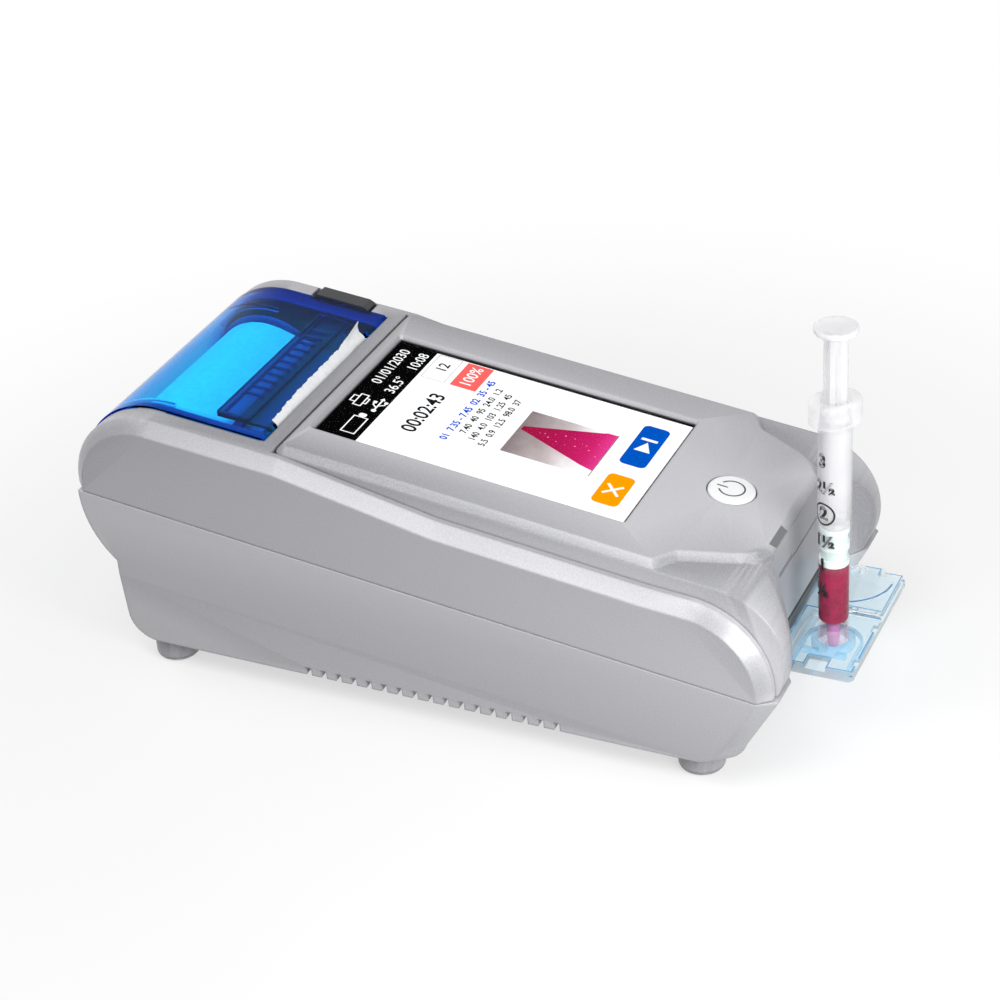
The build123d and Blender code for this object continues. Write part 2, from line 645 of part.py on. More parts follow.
# ---- Printer ----
with BuildPart() as printer_door:
    with BuildSketch(Plane.YZ.offset(-DOOR_HALF)):
        outer = REAR_R + DOOR_LIFT
        inner = outer - DOOR_WALL
        crown = polar(REAR_Y, REAR_Z, outer, 97)
        under = polar(REAR_Y, REAR_Z, inner, 97)
        front_z = 82.4 + DOOR_LIFT
        with BuildLine():
            ThreePointArc(polar(REAR_Y, REAR_Z, outer, 10.5), polar(REAR_Y, REAR_Z, outer, 54), crown)
            Line(crown, (DOOR_FRONT + 0.8, front_z))
            Line((DOOR_FRONT + 0.8, front_z), (DOOR_FRONT, front_z - 0.8))
            Line((DOOR_FRONT, front_z - 0.8), (DOOR_FRONT, front_z - DOOR_WALL))
            Line((DOOR_FRONT, front_z - DOOR_WALL), under)
            ThreePointArc(under, polar(REAR_Y, REAR_Z, inner, 54), polar(REAR_Y, REAR_Z, inner, 10.5))
            Line(polar(REAR_Y, REAR_Z, inner, 10.5), polar(REAR_Y, REAR_Z, outer, 10.5))
        make_face()
    extrude(amount=2 * DOOR_HALF)
    # Recess of the front edge where the paper comes out.
    with BuildSketch(Plane.XY.offset(70)):
        with Locations(((PAPER_X0 + PAPER_X1) / 2, TEAR_EDGE - 5)):
            RectangleRounded(PAPER_X1 - PAPER_X0 + 3, 10, 0.8)
    extrude(amount=20, mode=Mode.SUBTRACT)
    # Ribs on the underside that steady the roll.
    for x in (-34.3, 29.1):
        with BuildSketch(Plane.YZ.offset(x)):
            with BuildLine():
                ThreePointArc(polar(REAR_Y, REAR_Z, inner + 0.3, 40), polar(REAR_Y, REAR_Z, inner + 0.3, 70),
                              polar(REAR_Y, REAR_Z, inner + 0.3, 100))
                Line(polar(REAR_Y, REAR_Z, inner + 0.3, 100), polar(REAR_Y, REAR_Z, inner - 1.3, 100))
                ThreePointArc(polar(REAR_Y, REAR_Z, inner - 1.3, 100), polar(REAR_Y, REAR_Z, inner - 1.3, 70),
                              polar(REAR_Y, REAR_Z, inner - 1.3, 40))
                Line(polar(REAR_Y, REAR_Z, inner - 1.3, 40), polar(REAR_Y, REAR_Z, inner + 0.3, 40))
            make_face()
        extrude(amount=1.2)
    # Hinge barrel between the lugs of the case.
    with BuildSketch(Plane.YZ.offset(-35.8)):
        with Locations((HINGE_Y, HINGE_Z)):
            Circle(1.75)
        with Locations((HINGE_Y + 0.5, HINGE_Z + 1.5)):
            Rectangle(2.1, 2.6)
    extrude(amount=71.6)
    with BuildSketch(Plane.YZ):
        with Locations((HINGE_Y, HINGE_Z)):
            Circle(0.85)
    extrude(amount=42, both=True, mode=Mode.SUBTRACT)
    for x in (-37.95, 37.95):
        with Locations((x, HINGE_Y, HINGE_Z)):
            Cylinder(2.1, 4.3, rotation=(0, 90, 0), mode=Mode.SUBTRACT)
printer_door.part.label = "printer_door"
export_step(printer_door.part, "parts/printer_door.step")

# Guide plate under the door: a shallow frame with a comb of ribs that keeps the paper flat.
guide_slope = math.tan(math.radians(6.82))


def guide_z(y, drop):
    return 81.0 + guide_slope * (y - DOOR_FRONT) - drop


with BuildPart() as door_guide:
    for x0, x1, y0 in ((GUIDE_X0, 27.0, 56.4), (27.0, GUIDE_X1, 62.8)):
        with BuildSketch(Plane.YZ.offset(x0)):
            with BuildLine():
                Polyline((y0, guide_z(y0, 1.5)), (GUIDE_Y1, guide_z(GUIDE_Y1, 1.9)),
                         (GUIDE_Y1, guide_z(GUIDE_Y1, 1.1)), (y0, guide_z(y0, 0.8)), close=True)
            make_face()
        extrude(amount=x1 - x0)
    guide_mid = (GUIDE_X0 + GUIDE_X1) / 2
    guide_span = GUIDE_X1 - GUIDE_X0
    for x, width, y0, y1 in ((guide_mid, guide_span, GUIDE_Y0, GUIDE_Y0 + 0.8),
                             (guide_mid, guide_span, GUIDE_Y1 - 0.8, GUIDE_Y1),
                             (guide_mid, guide_span, GUIDE_Y1 - 2.2, GUIDE_Y1 - 1.8),
                             (GUIDE_X0 + 0.4, 0.8, GUIDE_Y0, GUIDE_Y1),
                             (GUIDE_X1 - 0.4, 0.8, GUIDE_Y0, GUIDE_Y1)):
        with BuildSketch(Plane.YZ.offset(x - width / 2)):
            with BuildLine():
                Polyline((y0, guide_z(y0, 1.2)), (y1, guide_z(y1, 1.4)), (y1, guide_z(y1, 0.1)),
                         (y0, guide_z(y0, 0.1)), close=True)
            make_face()
        extrude(amount=width)
    for k in range(11):
        with BuildSketch(Plane.YZ.offset(-17.3 + 4.1 * k)):
            with BuildLine():
                Polyline((66.5, guide_z(66.5, 1.3)), (72.0, guide_z(72.0, 1.4)), (72.0, guide_z(72.0, 0.3)),
                         (66.5, guide_z(66.5, 0.3)), close=True)
            make_face()
        extrude(amount=0.6)
door_guide.part.label = "door_guide"
export_step(door_guide.part, "parts/door_guide.step")

with BuildPart() as door_pin:
    with Locations((0, HINGE_Y, HINGE_Z)):
        Cylinder(0.78, 79, rotation=(0, 90, 0))
    chamfer(door_pin.edges(), 0.15)
door_pin.part.label = "door_pin"
export_step(door_pin.part, "parts/door_pin.step")

with BuildPart() as release_lever:
    with BuildSketch(Plane.YZ.offset(40.4)):
        with BuildLine():
            Polyline((60.9, 81.0), (60.9, 83.4), (62.6, 84.4), (78.4, 86.4), (79.7, 85.2), (79.7, 83.0),
                     (77.9, 81.4), (63.5, 79.9), close=True)
        make_face()
        with Locations((LEVER_Y, LEVER_Z)):
            Circle(0.62, mode=Mode.SUBTRACT)
    extrude(amount=5.3)
release_lever.part.label = "release_lever"
export_step(release_lever.part, "parts/release_lever.step")

with BuildPart() as lever_pin:
    with Locations((43.9, LEVER_Y, LEVER_Z)):
        Cylinder(0.57, 6.6, rotation=(0, 90, 0))
lever_pin.part.label = "lever_pin"
export_step(lever_pin.part, "parts/lever_pin.step")

with BuildPart() as printer_frame:
    for x in (-33.6, 27.2):
        with BuildSketch(Plane.YZ.offset(x)):
            with Locations((ROLL_Y, ROLL_Z)):
                Circle(20.2)
            with BuildLine():
                Polyline((53.6, 79.0), (74, 80.6), (84, 66), (84, 44), (60, 44), (53.6, 52), close=True)
            make_face()
            with Locations((PLATEN_Y, PLATEN_Z)):
                Circle(1.55, mode=Mode.SUBTRACT)
            with Locations((73, 55)):
                Circle(3.5, mode=Mode.SUBTRACT)
        extrude(amount=1.4)
    # Tub under the roll and the cross bars ahead of it.
    with BuildSketch(Plane.YZ.offset(-32.4)):
        with BuildLine():
            ThreePointArc(polar(ROLL_Y, ROLL_Z, 19.8, 190), polar(ROLL_Y, ROLL_Z, 19.8, 265),
                          polar(ROLL_Y, ROLL_Z, 19.8, 322))
            Line(polar(ROLL_Y, ROLL_Z, 19.8, 322), polar(ROLL_Y, ROLL_Z, 21.0, 322))
            ThreePointArc(polar(ROLL_Y, ROLL_Z, 21.0, 322), polar(ROLL_Y, ROLL_Z, 21.0, 265),
                          polar(ROLL_Y, ROLL_Z, 21.0, 190))
            Line(polar(ROLL_Y, ROLL_Z, 21.0, 190), polar(ROLL_Y, ROLL_Z, 19.8, 190))
        make_face()
    extrude(amount=60)
    with Locations((-2.6, 69.2, 77.8)):
        Box(60.8, 3.0, 1.4)
    with Locations((-2.6, 56, 53)):
        Box(60.8, 3.6, 3)
    # Hubs the core turns on.
    for x in (-32.4, 24.4):
        with Locations((x + 1.6, ROLL_Y, ROLL_Z)):
            Cylinder(4.6, 3.4, rotation=(0, 90, 0))
    with Locations((27.9, PINION_Y, PINION_Z)):
        Cylinder(2.2, 6, rotation=(0, 90, 0), mode=Mode.SUBTRACT)
    with Locations((27.9, IDLER_Y, IDLER_Z)):
        Cylinder(1.05, 6, rotation=(0, 90, 0), mode=Mode.SUBTRACT)
printer_frame.part.label = "printer_frame"
export_step(printer_frame.part, "parts/printer_frame.step")

with BuildPart() as roll_core:
    with BuildSketch(Plane.YZ.offset(PAPER_X0 + 0.2)):
        with Locations((ROLL_Y, ROLL_Z)):
            Circle(6.4)
            Circle(4.9, mode=Mode.SUBTRACT)
    extrude(amount=PAPER_X1 - PAPER_X0 - 0.4)
roll_core.part.label = "roll_core"
export_step(roll_core.part, "parts/roll_core.step")

with BuildPart() as paper_roll:
    with BuildSketch(Plane.YZ.offset(PAPER_X0)):
        with Locations((ROLL_Y, ROLL_Z)):
            Circle(ROLL_R)
            Circle(6.45, mode=Mode.SUBTRACT)
    extrude(amount=PAPER_X1 - PAPER_X0)
paper_roll.part.label = "paper_roll"
export_step(paper_roll.part, "parts/paper_roll.step")

# The web leaves the top of the roll, wraps under the platen and rises to the tear edge.
web = math.radians(18.47)
web_bend = PLATEN_R + 0.275
web_low = (PLATEN_Y + web_bend * math.sin(web), PLATEN_Z - web_bend * math.cos(web))
web_top = (ROLL_Y - (ROLL_R + 0.35) * math.sin(web), ROLL_Z + (ROLL_R + 0.35) * math.cos(web))
web_up = PLATEN_Y - web_bend
with BuildPart() as paper_strip:
    with BuildSketch(Plane.YZ.offset(PAPER_X0 + 0.2)):
        with BuildLine():
            Line(web_top, web_low)
            ThreePointArc(web_low, polar(PLATEN_Y, PLATEN_Z, web_bend, 234), (web_up, PLATEN_Z))
            Line((web_up, PLATEN_Z), (web_up, 76.2))
            Spline((web_up, 76.2), (54.3, 80.0), (54.75, 83.0), (55.2, 85.6), (56.4, 88.2),
                   tangents=((0, 1), (0.6, 0.8)))
        trace(line_width=0.22)
    extrude(amount=PAPER_X1 - PAPER_X0 - 0.4)
    # Torn edge, low over most of the width and rising to a point at the far end.
    tear = [(PAPER_X0 - 1, 84.3)]
    for k in range(28):
        x = PAPER_X0 + 1 + 2 * k
        rise = max(0.0, (x - 10) / 16) ** 1.6 * 3.2
        tear.append((x, 84.6 + rise + 0.35 * (k % 2)))
    tear.append((PAPER_X1 + 1, 88.0))
    with BuildSketch(Plane.XZ.offset(-60)):
        with BuildLine():
            Polyline(*tear, (PAPER_X1 + 1, 92), (PAPER_X0 - 1, 92), close=True)
        make_face()
    extrude(amount=12, mode=Mode.SUBTRACT)
paper_strip.part.label = "paper_strip"
export_step(paper_strip.part, "parts/paper_strip.step")

with BuildPart() as print_head:
    with Locations((-2.5, 51.1, 75.2)):
        Box(60, 2.4, 8.4)
    with Locations((-2.5, 52.5, 75.4)):
        Box(52, 0.8, 1.6)
    with Locations((-2.5, 51.6, 70.2)):
        Box(66, 1.4, 3)
print_head.part.label = "print_head"
export_step(print_head.part, "parts/print_head.step")

with BuildPart() as platen_roller:
    with Locations(((PAPER_X0 + PAPER_X1) / 2, PLATEN_Y, PLATEN_Z)):
        Cylinder(PLATEN_R, PAPER_X1 - PAPER_X0, rotation=(0, 90, 0))
        Cylinder(1.6, 80, rotation=(0, 90, 0), mode=Mode.SUBTRACT)
platen_roller.part.label = "platen_roller"
export_step(platen_roller.part, "parts/platen_roller.step")

with BuildPart() as platen_shaft:
    with Locations((-1.0, PLATEN_Y, PLATEN_Z)):
        Cylinder(1.5, 66.4, rotation=(0, 90, 0))
platen_shaft.part.label = "platen_shaft"
export_step(platen_shaft.part, "parts/platen_shaft.step")

with BuildPart() as platen_gear:
    with BuildSketch(Plane.YZ.offset(GEAR_X)):
        with Locations((PLATEN_Y, PLATEN_Z)):
            add(tooth_rim(TEETH_PLATEN, to_idler))
            Circle(1.52, mode=Mode.SUBTRACT)
    extrude(amount=GEAR_FACE)
platen_gear.part.label = "platen_gear"
export_step(platen_gear.part, "parts/platen_gear.step")

with BuildPart() as idler_gear:
    with BuildSketch(Plane.YZ.offset(GEAR_X)):
        with Locations((IDLER_Y, IDLER_Z)):
            add(tooth_rim(TEETH_IDLER, idler_start))
            Circle(1.05, mode=Mode.SUBTRACT)
    extrude(amount=GEAR_FACE)
idler_gear.part.label = "idler_gear"
export_step(idler_gear.part, "parts/idler_gear.step")

with BuildPart() as idler_pin:
    with Locations((29.6, IDLER_Y, IDLER_Z)):
        Cylinder(1.0, 4.8, rotation=(0, 90, 0))
    with Locations((31.9, IDLER_Y, IDLER_Z)):
        Cylinder(1.8, 0.6, rotation=(0, 90, 0))
idler_pin.part.label = "idler_pin"
export_step(idler_pin.part, "parts/idler_pin.step")

with BuildPart() as motor_pinion:
    with BuildSketch(Plane.YZ.offset(GEAR_X)):
        with Locations((PINION_Y, PINION_Z)):
            add(tooth_rim(TEETH_PINION, pinion_start))
    extrude(amount=GEAR_FACE)
    with Locations((22.9 + 3, PINION_Y, PINION_Z)):
        Cylinder(0.95, 8, rotation=(0, 90, 0))
motor_pinion.part.label = "motor_pinion"
export_step(motor_pinion.part, "parts/motor_pinion.step")

with BuildPart() as printer_motor:
    with Locations((16.6, PINION_Y, PINION_Z)):
        Cylinder(5.8, 19, rotation=(0, 90, 0))
    with Locations((26.3, PINION_Y, PINION_Z)):
        Cylinder(2.6, 1.0, rotation=(0, 90, 0))
    with Locations((24, PINION_Y, PINION_Z)):
        Cylinder(1.0, 10, rotation=(0, 90, 0), mode=Mode.SUBTRACT)
    fillet(printer_motor.edges().filter_by(GeomType.CIRCLE).sort_by(Axis.X)[0], 0.8)
printer_motor.part.label = "printer_motor"
export_step(printer_motor.part, "parts/printer_motor.step")

# ---- Card slot, heated block and contacts ----
with BuildPart() as card_guide:
    with Locations((0, -89.4, 29.6)):
        Box(57.4, 4.8, 5.2)
    with Locations((0, -90, 28.2)):
        Box(55.8, 18, 2.6, mode=Mode.SUBTRACT)
    chamfer(card_guide.edges().filter_by(Axis.X).group_by(Axis.Y)[0], 0.4)
card_guide.part.label = "card_guide"
export_step(card_guide.part, "parts/card_guide.step")

with BuildPart() as heater_block:
    with Locations((0, -72, 29)):
        Box(62, 19, 18)
    with Locations((0, -72, 28.2)):
        Box(56.8, 30, 3.4, mode=Mode.SUBTRACT)
    with Locations((-20, -72, 36), (0, -72, 36), (20, -72, 36)):
        Cylinder(2.5, 30, rotation=(90, 0, 0), mode=Mode.SUBTRACT)
heater_block.part.label = "heater_block"
export_step(heater_block.part, "parts/heater_block.step")

with BuildPart() as contact_block:
    with Locations((0, -58.6, 30)):
        Box(44, 5.6, 20)
    with Locations((0, -61, 28.2)):
        Box(40, 3, 3.4, mode=Mode.SUBTRACT)
contact_block.part.label = "contact_block"
export_step(contact_block.part, "parts/contact_block.step")

with BuildPart() as sensor_board:
    with Locations((0, -66, 16.6)):
        Box(58, 34, 1.6)
sensor_board.part.label = "sensor_board"
export_step(sensor_board.part, "parts/sensor_board.step")

with BuildPart() as speaker:
    with Locations((22, -28, 14.6)):
        Cylinder(10, 5.4)
    with Locations((22, -28, 12.6)):
        Cylinder(8.4, 1.6, mode=Mode.SUBTRACT)
    fillet(speaker.edges().sort_by(Axis.Z)[-1], 1)
speaker.part.label = "speaker"
export_step(speaker.part, "parts/speaker.step")

# ---- Sensor card with its lid ----
with BuildPart() as sensor_card:
    with BuildSketch(Plane.XY.offset(CARD_Z0)):
        with BuildLine():
            Polyline((CARD_X0, CARD_Y1), (27.3, CARD_Y1), (27.3, -92.6), (CARD_X1, -94), (CARD_X1, -99.7),
                     (CARD_X1 + 2.6, -100.5), (CARD_X1 + 2.6, -108.9), (CARD_X1, -109.7), (CARD_X1, CARD_Y0),
                     (CARD_X0, CARD_Y0), close=True)
        make_face()
    extrude(amount=CARD_Z1 - CARD_Z0)
    chamfer(sensor_card.edges().filter_by(Axis.Z).group_by(Axis.Y)[0], 1.2)
    with Locations(((CARD_X0 + 3.4) / 2, -104.6, (CARD_Z1 + BLOCK_Z) / 2)):
        Box(3.4 - CARD_X0, 22.2, BLOCK_Z - CARD_Z1)
    with Locations((LID_X, -114.2, 30.1), (LID_X, -107.2, 30.1)):
        Box(1.7, 1.3, 1.9)
    with Locations((LID_X, -110, 30.2)):
        Cylinder(0.45, 20, rotation=(90, 0, 0), mode=Mode.SUBTRACT)
    with Locations((PORT_X, PORT_Y, 30)):
        Cylinder(2.3, 2.4, mode=Mode.SUBTRACT)
    # Recess in the near end of the block and small notches along its front edge.
    with Locations((CARD_X0 + 2.2, -105.0, 30.2)):
        Box(5.0, 6.0, 2.0, mode=Mode.SUBTRACT)
    with Locations((-2, CARD_Y0, 30.2), (-19.5, CARD_Y0, 30.2)):
        Box(3.4, 2.4, 1.4, mode=Mode.SUBTRACT)
    with Locations((0.8, -97, BLOCK_Z)):
        Box(2.6, 2.0, 1.2, mode=Mode.SUBTRACT)
sensor_card.part.label = "sensor_card"
export_step(sensor_card.part, "parts/sensor_card.step")

with BuildPart() as port_collar:
    with BuildSketch(Plane.XY.offset(BLOCK_Z)):
        with Locations((PORT_X, PORT_Y)):
            Circle(6.2)
            Circle(4.5, mode=Mode.SUBTRACT)
    extrude(amount=2.2)
    with Locations((-18.9, -106, BLOCK_Z + 0.8)):
        Box(1.4, 12.4, 1.6)
    # Arched wall round the port, open towards the near end.
    with BuildSketch(Plane.XY.offset(BLOCK_Z)):
        with Locations((PORT_X, PORT_Y)):
            Circle(8.3)
            Circle(7.5, mode=Mode.SUBTRACT)
            with Locations((-10, 0)):
                Rectangle(20, 20, mode=Mode.SUBTRACT)
            with Locations((-5.7, 7.9), (-5.7, -7.9)):
                Rectangle(11.6, 0.8)
    extrude(amount=1.1)
port_collar.part.label = "port_collar"
export_step(port_collar.part, "parts/port_collar.step")

with BuildPart() as card_contacts:
    with Locations((0, -67, CARD_Z1 + 0.05)):
        with GridLocations(4.0, 0, 9, 1):
            Box(2.4, 7, 0.1)
card_contacts.part.label = "card_contacts"
export_step(card_contacts.part, "parts/card_contacts.step")

with BuildPart() as card_lid:
    with BuildSketch(Plane.XY.offset(29.5)):
        with BuildLine():
            Polyline((6.3, -115.2), (26.4, -115.2), (26.4, -109.9), (24.4, -109.9), (24.4, -108.5),
                     (28.0, -108.5), (28.0, -103.7), (24.8, -103.7), (24.8, -102.5), (26.4, -102.5),
                     (26.4, -97.8), (6.3, -97.8), close=True)
        make_face()
    extrude(amount=1.4)
    fillet(card_lid.edges().filter_by(Axis.Z).sort_by(Axis.X)[-2:], 1.2)
    # Curved step moulded in the top.
    with BuildSketch(Plane.XY.offset(30.6)):
        with Locations((21.5, -99.8)):
            Circle(14.0)
            Circle(13.4, mode=Mode.SUBTRACT)
            with Locations((0, 10)):
                Rectangle(40, 20, mode=Mode.SUBTRACT)
            with Locations((11, 0)):
                Rectangle(20, 40, mode=Mode.SUBTRACT)
    extrude(amount=1, mode=Mode.SUBTRACT)
    with Locations((LID_X, -110.7, 30.2)):
        Cylinder(0.85, 5.0, rotation=(90, 0, 0))
    with Locations((LID_X + 0.9, -110.7, 30.2)):
        Box(1.8, 5.0, 1.2)
    with Locations((LID_X, -110.7, 30.2)):
        Cylinder(0.48, 8, rotation=(90, 0, 0), mode=Mode.SUBTRACT)
card_lid.part.label = "card_lid"
export_step(card_lid.part, "parts/card_lid.step")

with BuildPart() as lid_pin:
    with Locations((LID_X, -110.7, 30.2)):
        Cylinder(0.42, 8.2, rotation=(90, 0, 0))
lid_pin.part.label = "lid_pin"
export_step(lid_pin.part, "parts/lid_pin.step")

# ---- Syringe standing in the card ----
with BuildPart() as luer_collar:
    with BuildSketch(Plane.XZ.offset(-PORT_Y)):
        with BuildLine():
            Polyline((PORT_X, 30.0), (PORT_X + 1.9, 30.0), (PORT_X + 2.0, 31.2), (PORT_X + 4.0, 31.2),
                     (PORT_X + 4.2, 33.4), (PORT_X + 4.4, 34.2), (PORT_X + 4.6, 38.4), (PORT_X, 38.4),
                     close=True)
        make_face()
    revolve(axis=Axis((PORT_X, PORT_Y, 0), (0, 0, 1)))
    with Locations((PORT_X, PORT_Y, 34)):
        Cylinder(0.9, 12, mode=Mode.SUBTRACT)
luer_collar.part.label = "luer_collar"
export_step(luer_collar.part, "parts/luer_collar.step")

with BuildPart() as syringe_barrel:
    with Locations((PORT_X, PORT_Y, (BARREL_Z0 + BARREL_Z1) / 2)):
        Cylinder(BARREL_R, BARREL_Z1 - BARREL_Z0)
    with BuildSketch(Plane.XY.offset(BARREL_Z1 - 0.7)):
        with Locations((PORT_X, PORT_Y)):
            SlotOverall(15, 11.6, rotation=-41)
    extrude(amount=6.7)
    fillet(syringe_barrel.edges().group_by(Axis.Z)[-1], 1.2)
    with Locations((PORT_X, PORT_Y, (BARREL_Z0 + 1 + 110) / 2)):
        Cylinder(BARREL_BORE, 110 - BARREL_Z0 - 1, mode=Mode.SUBTRACT)
    with Locations((PORT_X, PORT_Y, BARREL_Z0)):
        Cylinder(0.9, 4, mode=Mode.SUBTRACT)
syringe_barrel.part.label = "syringe_barrel"
export_step(syringe_barrel.part, "parts/syringe_barrel.step")

with BuildPart() as blood_sample:
    with Locations((PORT_X, PORT_Y, (BARREL_Z0 + 1.1 + PISTON_Z0 - 0.1) / 2)):
        Cylinder(BARREL_BORE - 0.05, PISTON_Z0 - BARREL_Z0 - 1.2)
blood_sample.part.label = "blood_sample"
export_step(blood_sample.part, "parts/blood_sample.step")

with BuildPart() as piston:
    with Locations((PORT_X, PORT_Y, (PISTON_Z0 + PISTON_Z1) / 2)):
        Cylinder(BARREL_BORE - 0.05, PISTON_Z1 - PISTON_Z0)
    for z in (PISTON_Z0 + 3.4, PISTON_Z1 - 3.4):
        with BuildSketch(Plane.XY.offset(z)):
            with Locations((PORT_X, PORT_Y)):
                Circle(5)
                Circle(3.7, mode=Mode.SUBTRACT)
        extrude(amount=1.6, both=True, mode=Mode.SUBTRACT)
piston.part.label = "piston"
export_step(piston.part, "parts/piston.step")

with BuildPart() as plunger_rod:
    with Locations((PORT_X, PORT_Y, 129.9)):
        Cylinder(6.0, 1.8)
    fillet(plunger_rod.edges().filter_by(GeomType.CIRCLE), 0.6)
    with Locations((PORT_X, PORT_Y, (PISTON_Z1 + 129.4) / 2)):
        Box(6.4, 1.4, 129.4 - PISTON_Z1)
        Box(1.4, 6.4, 129.4 - PISTON_Z1)
    with Locations((PORT_X, PORT_Y, PISTON_Z1 + 1.2), (PORT_X, PORT_Y, BARREL_Z1 + 1)):
        Cylinder(BARREL_BORE - 0.15, 1.6)
plunger_rod.part.label = "plunger_rod"
export_step(plunger_rod.part, "parts/plunger_rod.step")

# ---- Cables, screws, rating plate ----
with BuildPart() as ribbon_cables:
    with BuildSketch(Plane.YZ.offset(-28)):
        with BuildLine():
            Line((39.4, 65.0), (39.9, 61.0))
            ThreePointArc((39.9, 61.0), (45.5, 57.6), (50.6, 61.6))
            Line((50.6, 61.6), (51.4, 68.4))
        trace(line_width=0.3)
    extrude(amount=15)
    with BuildSketch(Plane.YZ.offset(-10)):
        with BuildLine():
            Line((-47.4, 53.6), (-48.4, 48.0))
            ThreePointArc((-48.4, 48.0), (-53.0, 43.6), (-57.0, 44.2))
            Line((-57.0, 44.2), (-58.6, 40.3))
        trace(line_width=0.3)
    extrude(amount=20)
ribbon_cables.part.label = "ribbon_cables"
export_step(ribbon_cables.part, "parts/ribbon_cables.step")

with BuildPart() as casing_screws:
    for x, y in POSTS:
        with Locations((-x, y, 11.2), (x, y, 11.2)):
            Cylinder(2.6, 2.4)
        with Locations((-x, y, (12 + seam(y) + 9) / 2), (x, y, (12 + seam(y) + 9) / 2)):
            Cylinder(1.25, seam(y) + 9 - 12)
        with Locations((-x, y, 10.4), (x, y, 10.4)):
            Box(3.4, 0.7, 1.2, mode=Mode.SUBTRACT)
            Box(0.7, 3.4, 1.2, mode=Mode.SUBTRACT)
casing_screws.part.label = "casing_screws"
export_step(casing_screws.part, "parts/casing_screws.step")

with BuildPart() as rating_plate:
    with BuildSketch(Plane.XY.offset(FLOOR_Z - 0.4)):
        with Locations((0, -40)):
            RectangleRounded(58, 26, 2)
    extrude(amount=0.4)
rating_plate.part.label = "rating_plate"
export_step(rating_plate.part, "parts/rating_plate.step")
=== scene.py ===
"""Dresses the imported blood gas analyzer: finishes, screen, printer, sensor card, syringe and stage."""

import math

import bmesh
import bpy
from bpy.props import FloatProperty, FloatVectorProperty, IntProperty, PointerProperty
from mathutils import Matrix, Vector


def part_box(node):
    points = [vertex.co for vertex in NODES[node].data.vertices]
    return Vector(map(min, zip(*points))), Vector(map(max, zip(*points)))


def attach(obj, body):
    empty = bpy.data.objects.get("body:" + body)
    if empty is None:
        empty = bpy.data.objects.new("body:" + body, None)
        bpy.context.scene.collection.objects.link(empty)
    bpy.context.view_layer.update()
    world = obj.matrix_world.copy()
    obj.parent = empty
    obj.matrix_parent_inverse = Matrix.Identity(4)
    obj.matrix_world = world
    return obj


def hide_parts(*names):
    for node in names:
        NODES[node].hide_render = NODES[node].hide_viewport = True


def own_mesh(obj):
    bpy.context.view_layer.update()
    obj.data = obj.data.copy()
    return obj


bl_info = {
    "name": "Blood Gas Analyzer",
    "version": (1, 0, 0),
    "blender": (4, 5, 0),
    "location": "View3D > Sidebar > Analyzer",
    "description": "Finishes and fine parts of a portable blood gas analyzer",
    "category": "Object",
}

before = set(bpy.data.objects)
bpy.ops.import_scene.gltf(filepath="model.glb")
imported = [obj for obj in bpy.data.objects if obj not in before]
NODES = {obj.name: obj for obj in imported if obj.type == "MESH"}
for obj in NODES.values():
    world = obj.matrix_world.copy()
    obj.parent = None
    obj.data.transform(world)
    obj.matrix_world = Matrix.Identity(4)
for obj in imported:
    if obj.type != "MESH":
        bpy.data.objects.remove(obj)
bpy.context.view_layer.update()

# Places and sizes below are in millimetres, unless a line says otherwise.
MM = 0.001

# The sloping deck: its origin at the screen's rear edge, and its directions.
DECK_TILT = math.radians(7.816)
DECK_ORIGIN = Vector((0.0, 43.75, 83.0))
DECK_UP = Vector((0.0, -math.sin(DECK_TILT), math.cos(DECK_TILT)))
DECK_BACK = Vector((0.0, math.cos(DECK_TILT), math.sin(DECK_TILT)))
SCREEN_TOP = -2.71
BUTTON_TOP = 0.6
BUTTON_SLOPE_Y = -117.4

# The front cover's chamfer: its upper corner, and how it falls for each millimetre along it.
FRONT_CORNER_Y, FRONT_CORNER_Z = -89.9, 64.54
FRONT_FALL_Y, FRONT_FALL_Z = 0.626, 0.78

# Heights of printed marks, of lit marks laid on others, and of the card's lines of painted shade and painted highlight.
PRINT = 0.03
FACE = 0.01
EDGE_LINE = 0.05

# The screen's picture along Y, and the printer's well as middle and half width, in metres.
PICTURE_REAR, PICTURE_FRONT = -0.0062, -0.0335
ROLL_WELL = (("X", 0.0, 0.0406), ("Y", 0.0840, 0.0290), ("Z", 0.0702, 0.0160))

# The sensor card and the syringe that stands in its port.
PORT = Vector((-12.5, -106.55, 0.0))
BARREL_R = 4.7
BLOCK_TOP = 30.7
LID_TOP = 30.9
LUER_Z0, BLOOD_Z0, BLOOD_Z1 = 30.2, 39.6, 57.9
SCALE_FACING = math.radians(205.6)

# The paper's way from the roll round the platen.
PLATEN_Y, PLATEN_Z, WEB_R = 57.4, 75.4, 4.275
ROLL_Y, ROLL_Z, ROLL_R = 91.0, 62.0, 19.35
WEB_LEAN = math.radians(18.47)

# The stage: where the floor's shadow fades into white, in metres, and the camera.
SHADOW_REACH, WHITE_REACH = 0.10, 0.32
CAMERA_PLACE = Vector((-574.3, -282.4, 439.2))
CAMERA_TURN, CAMERA_DIP, CAMERA_ROLL = math.radians(-63.804), math.radians(31.321), math.radians(-4.07)


# ---------------------------------------------------------------- node and mesh helpers


def finish(name, colour, roughness, metallic=0.0, coat=0.0, clear=0.0, ior=1.46):
    """A material whose even values stand on the shader's own sockets."""
    made = bpy.data.materials.new(name)
    made.use_nodes = True
    skin = made.node_tree.nodes["Principled BSDF"]
    skin.inputs["Base Color"].default_value = (*colour, 1.0)
    skin.inputs["Roughness"].default_value = roughness
    skin.inputs["Metallic"].default_value = metallic
    skin.inputs["Coat Weight"].default_value = coat
    skin.inputs["Coat Roughness"].default_value = 0.12
    skin.inputs["Transmission Weight"].default_value = clear
    skin.inputs["IOR"].default_value = ior
    return made


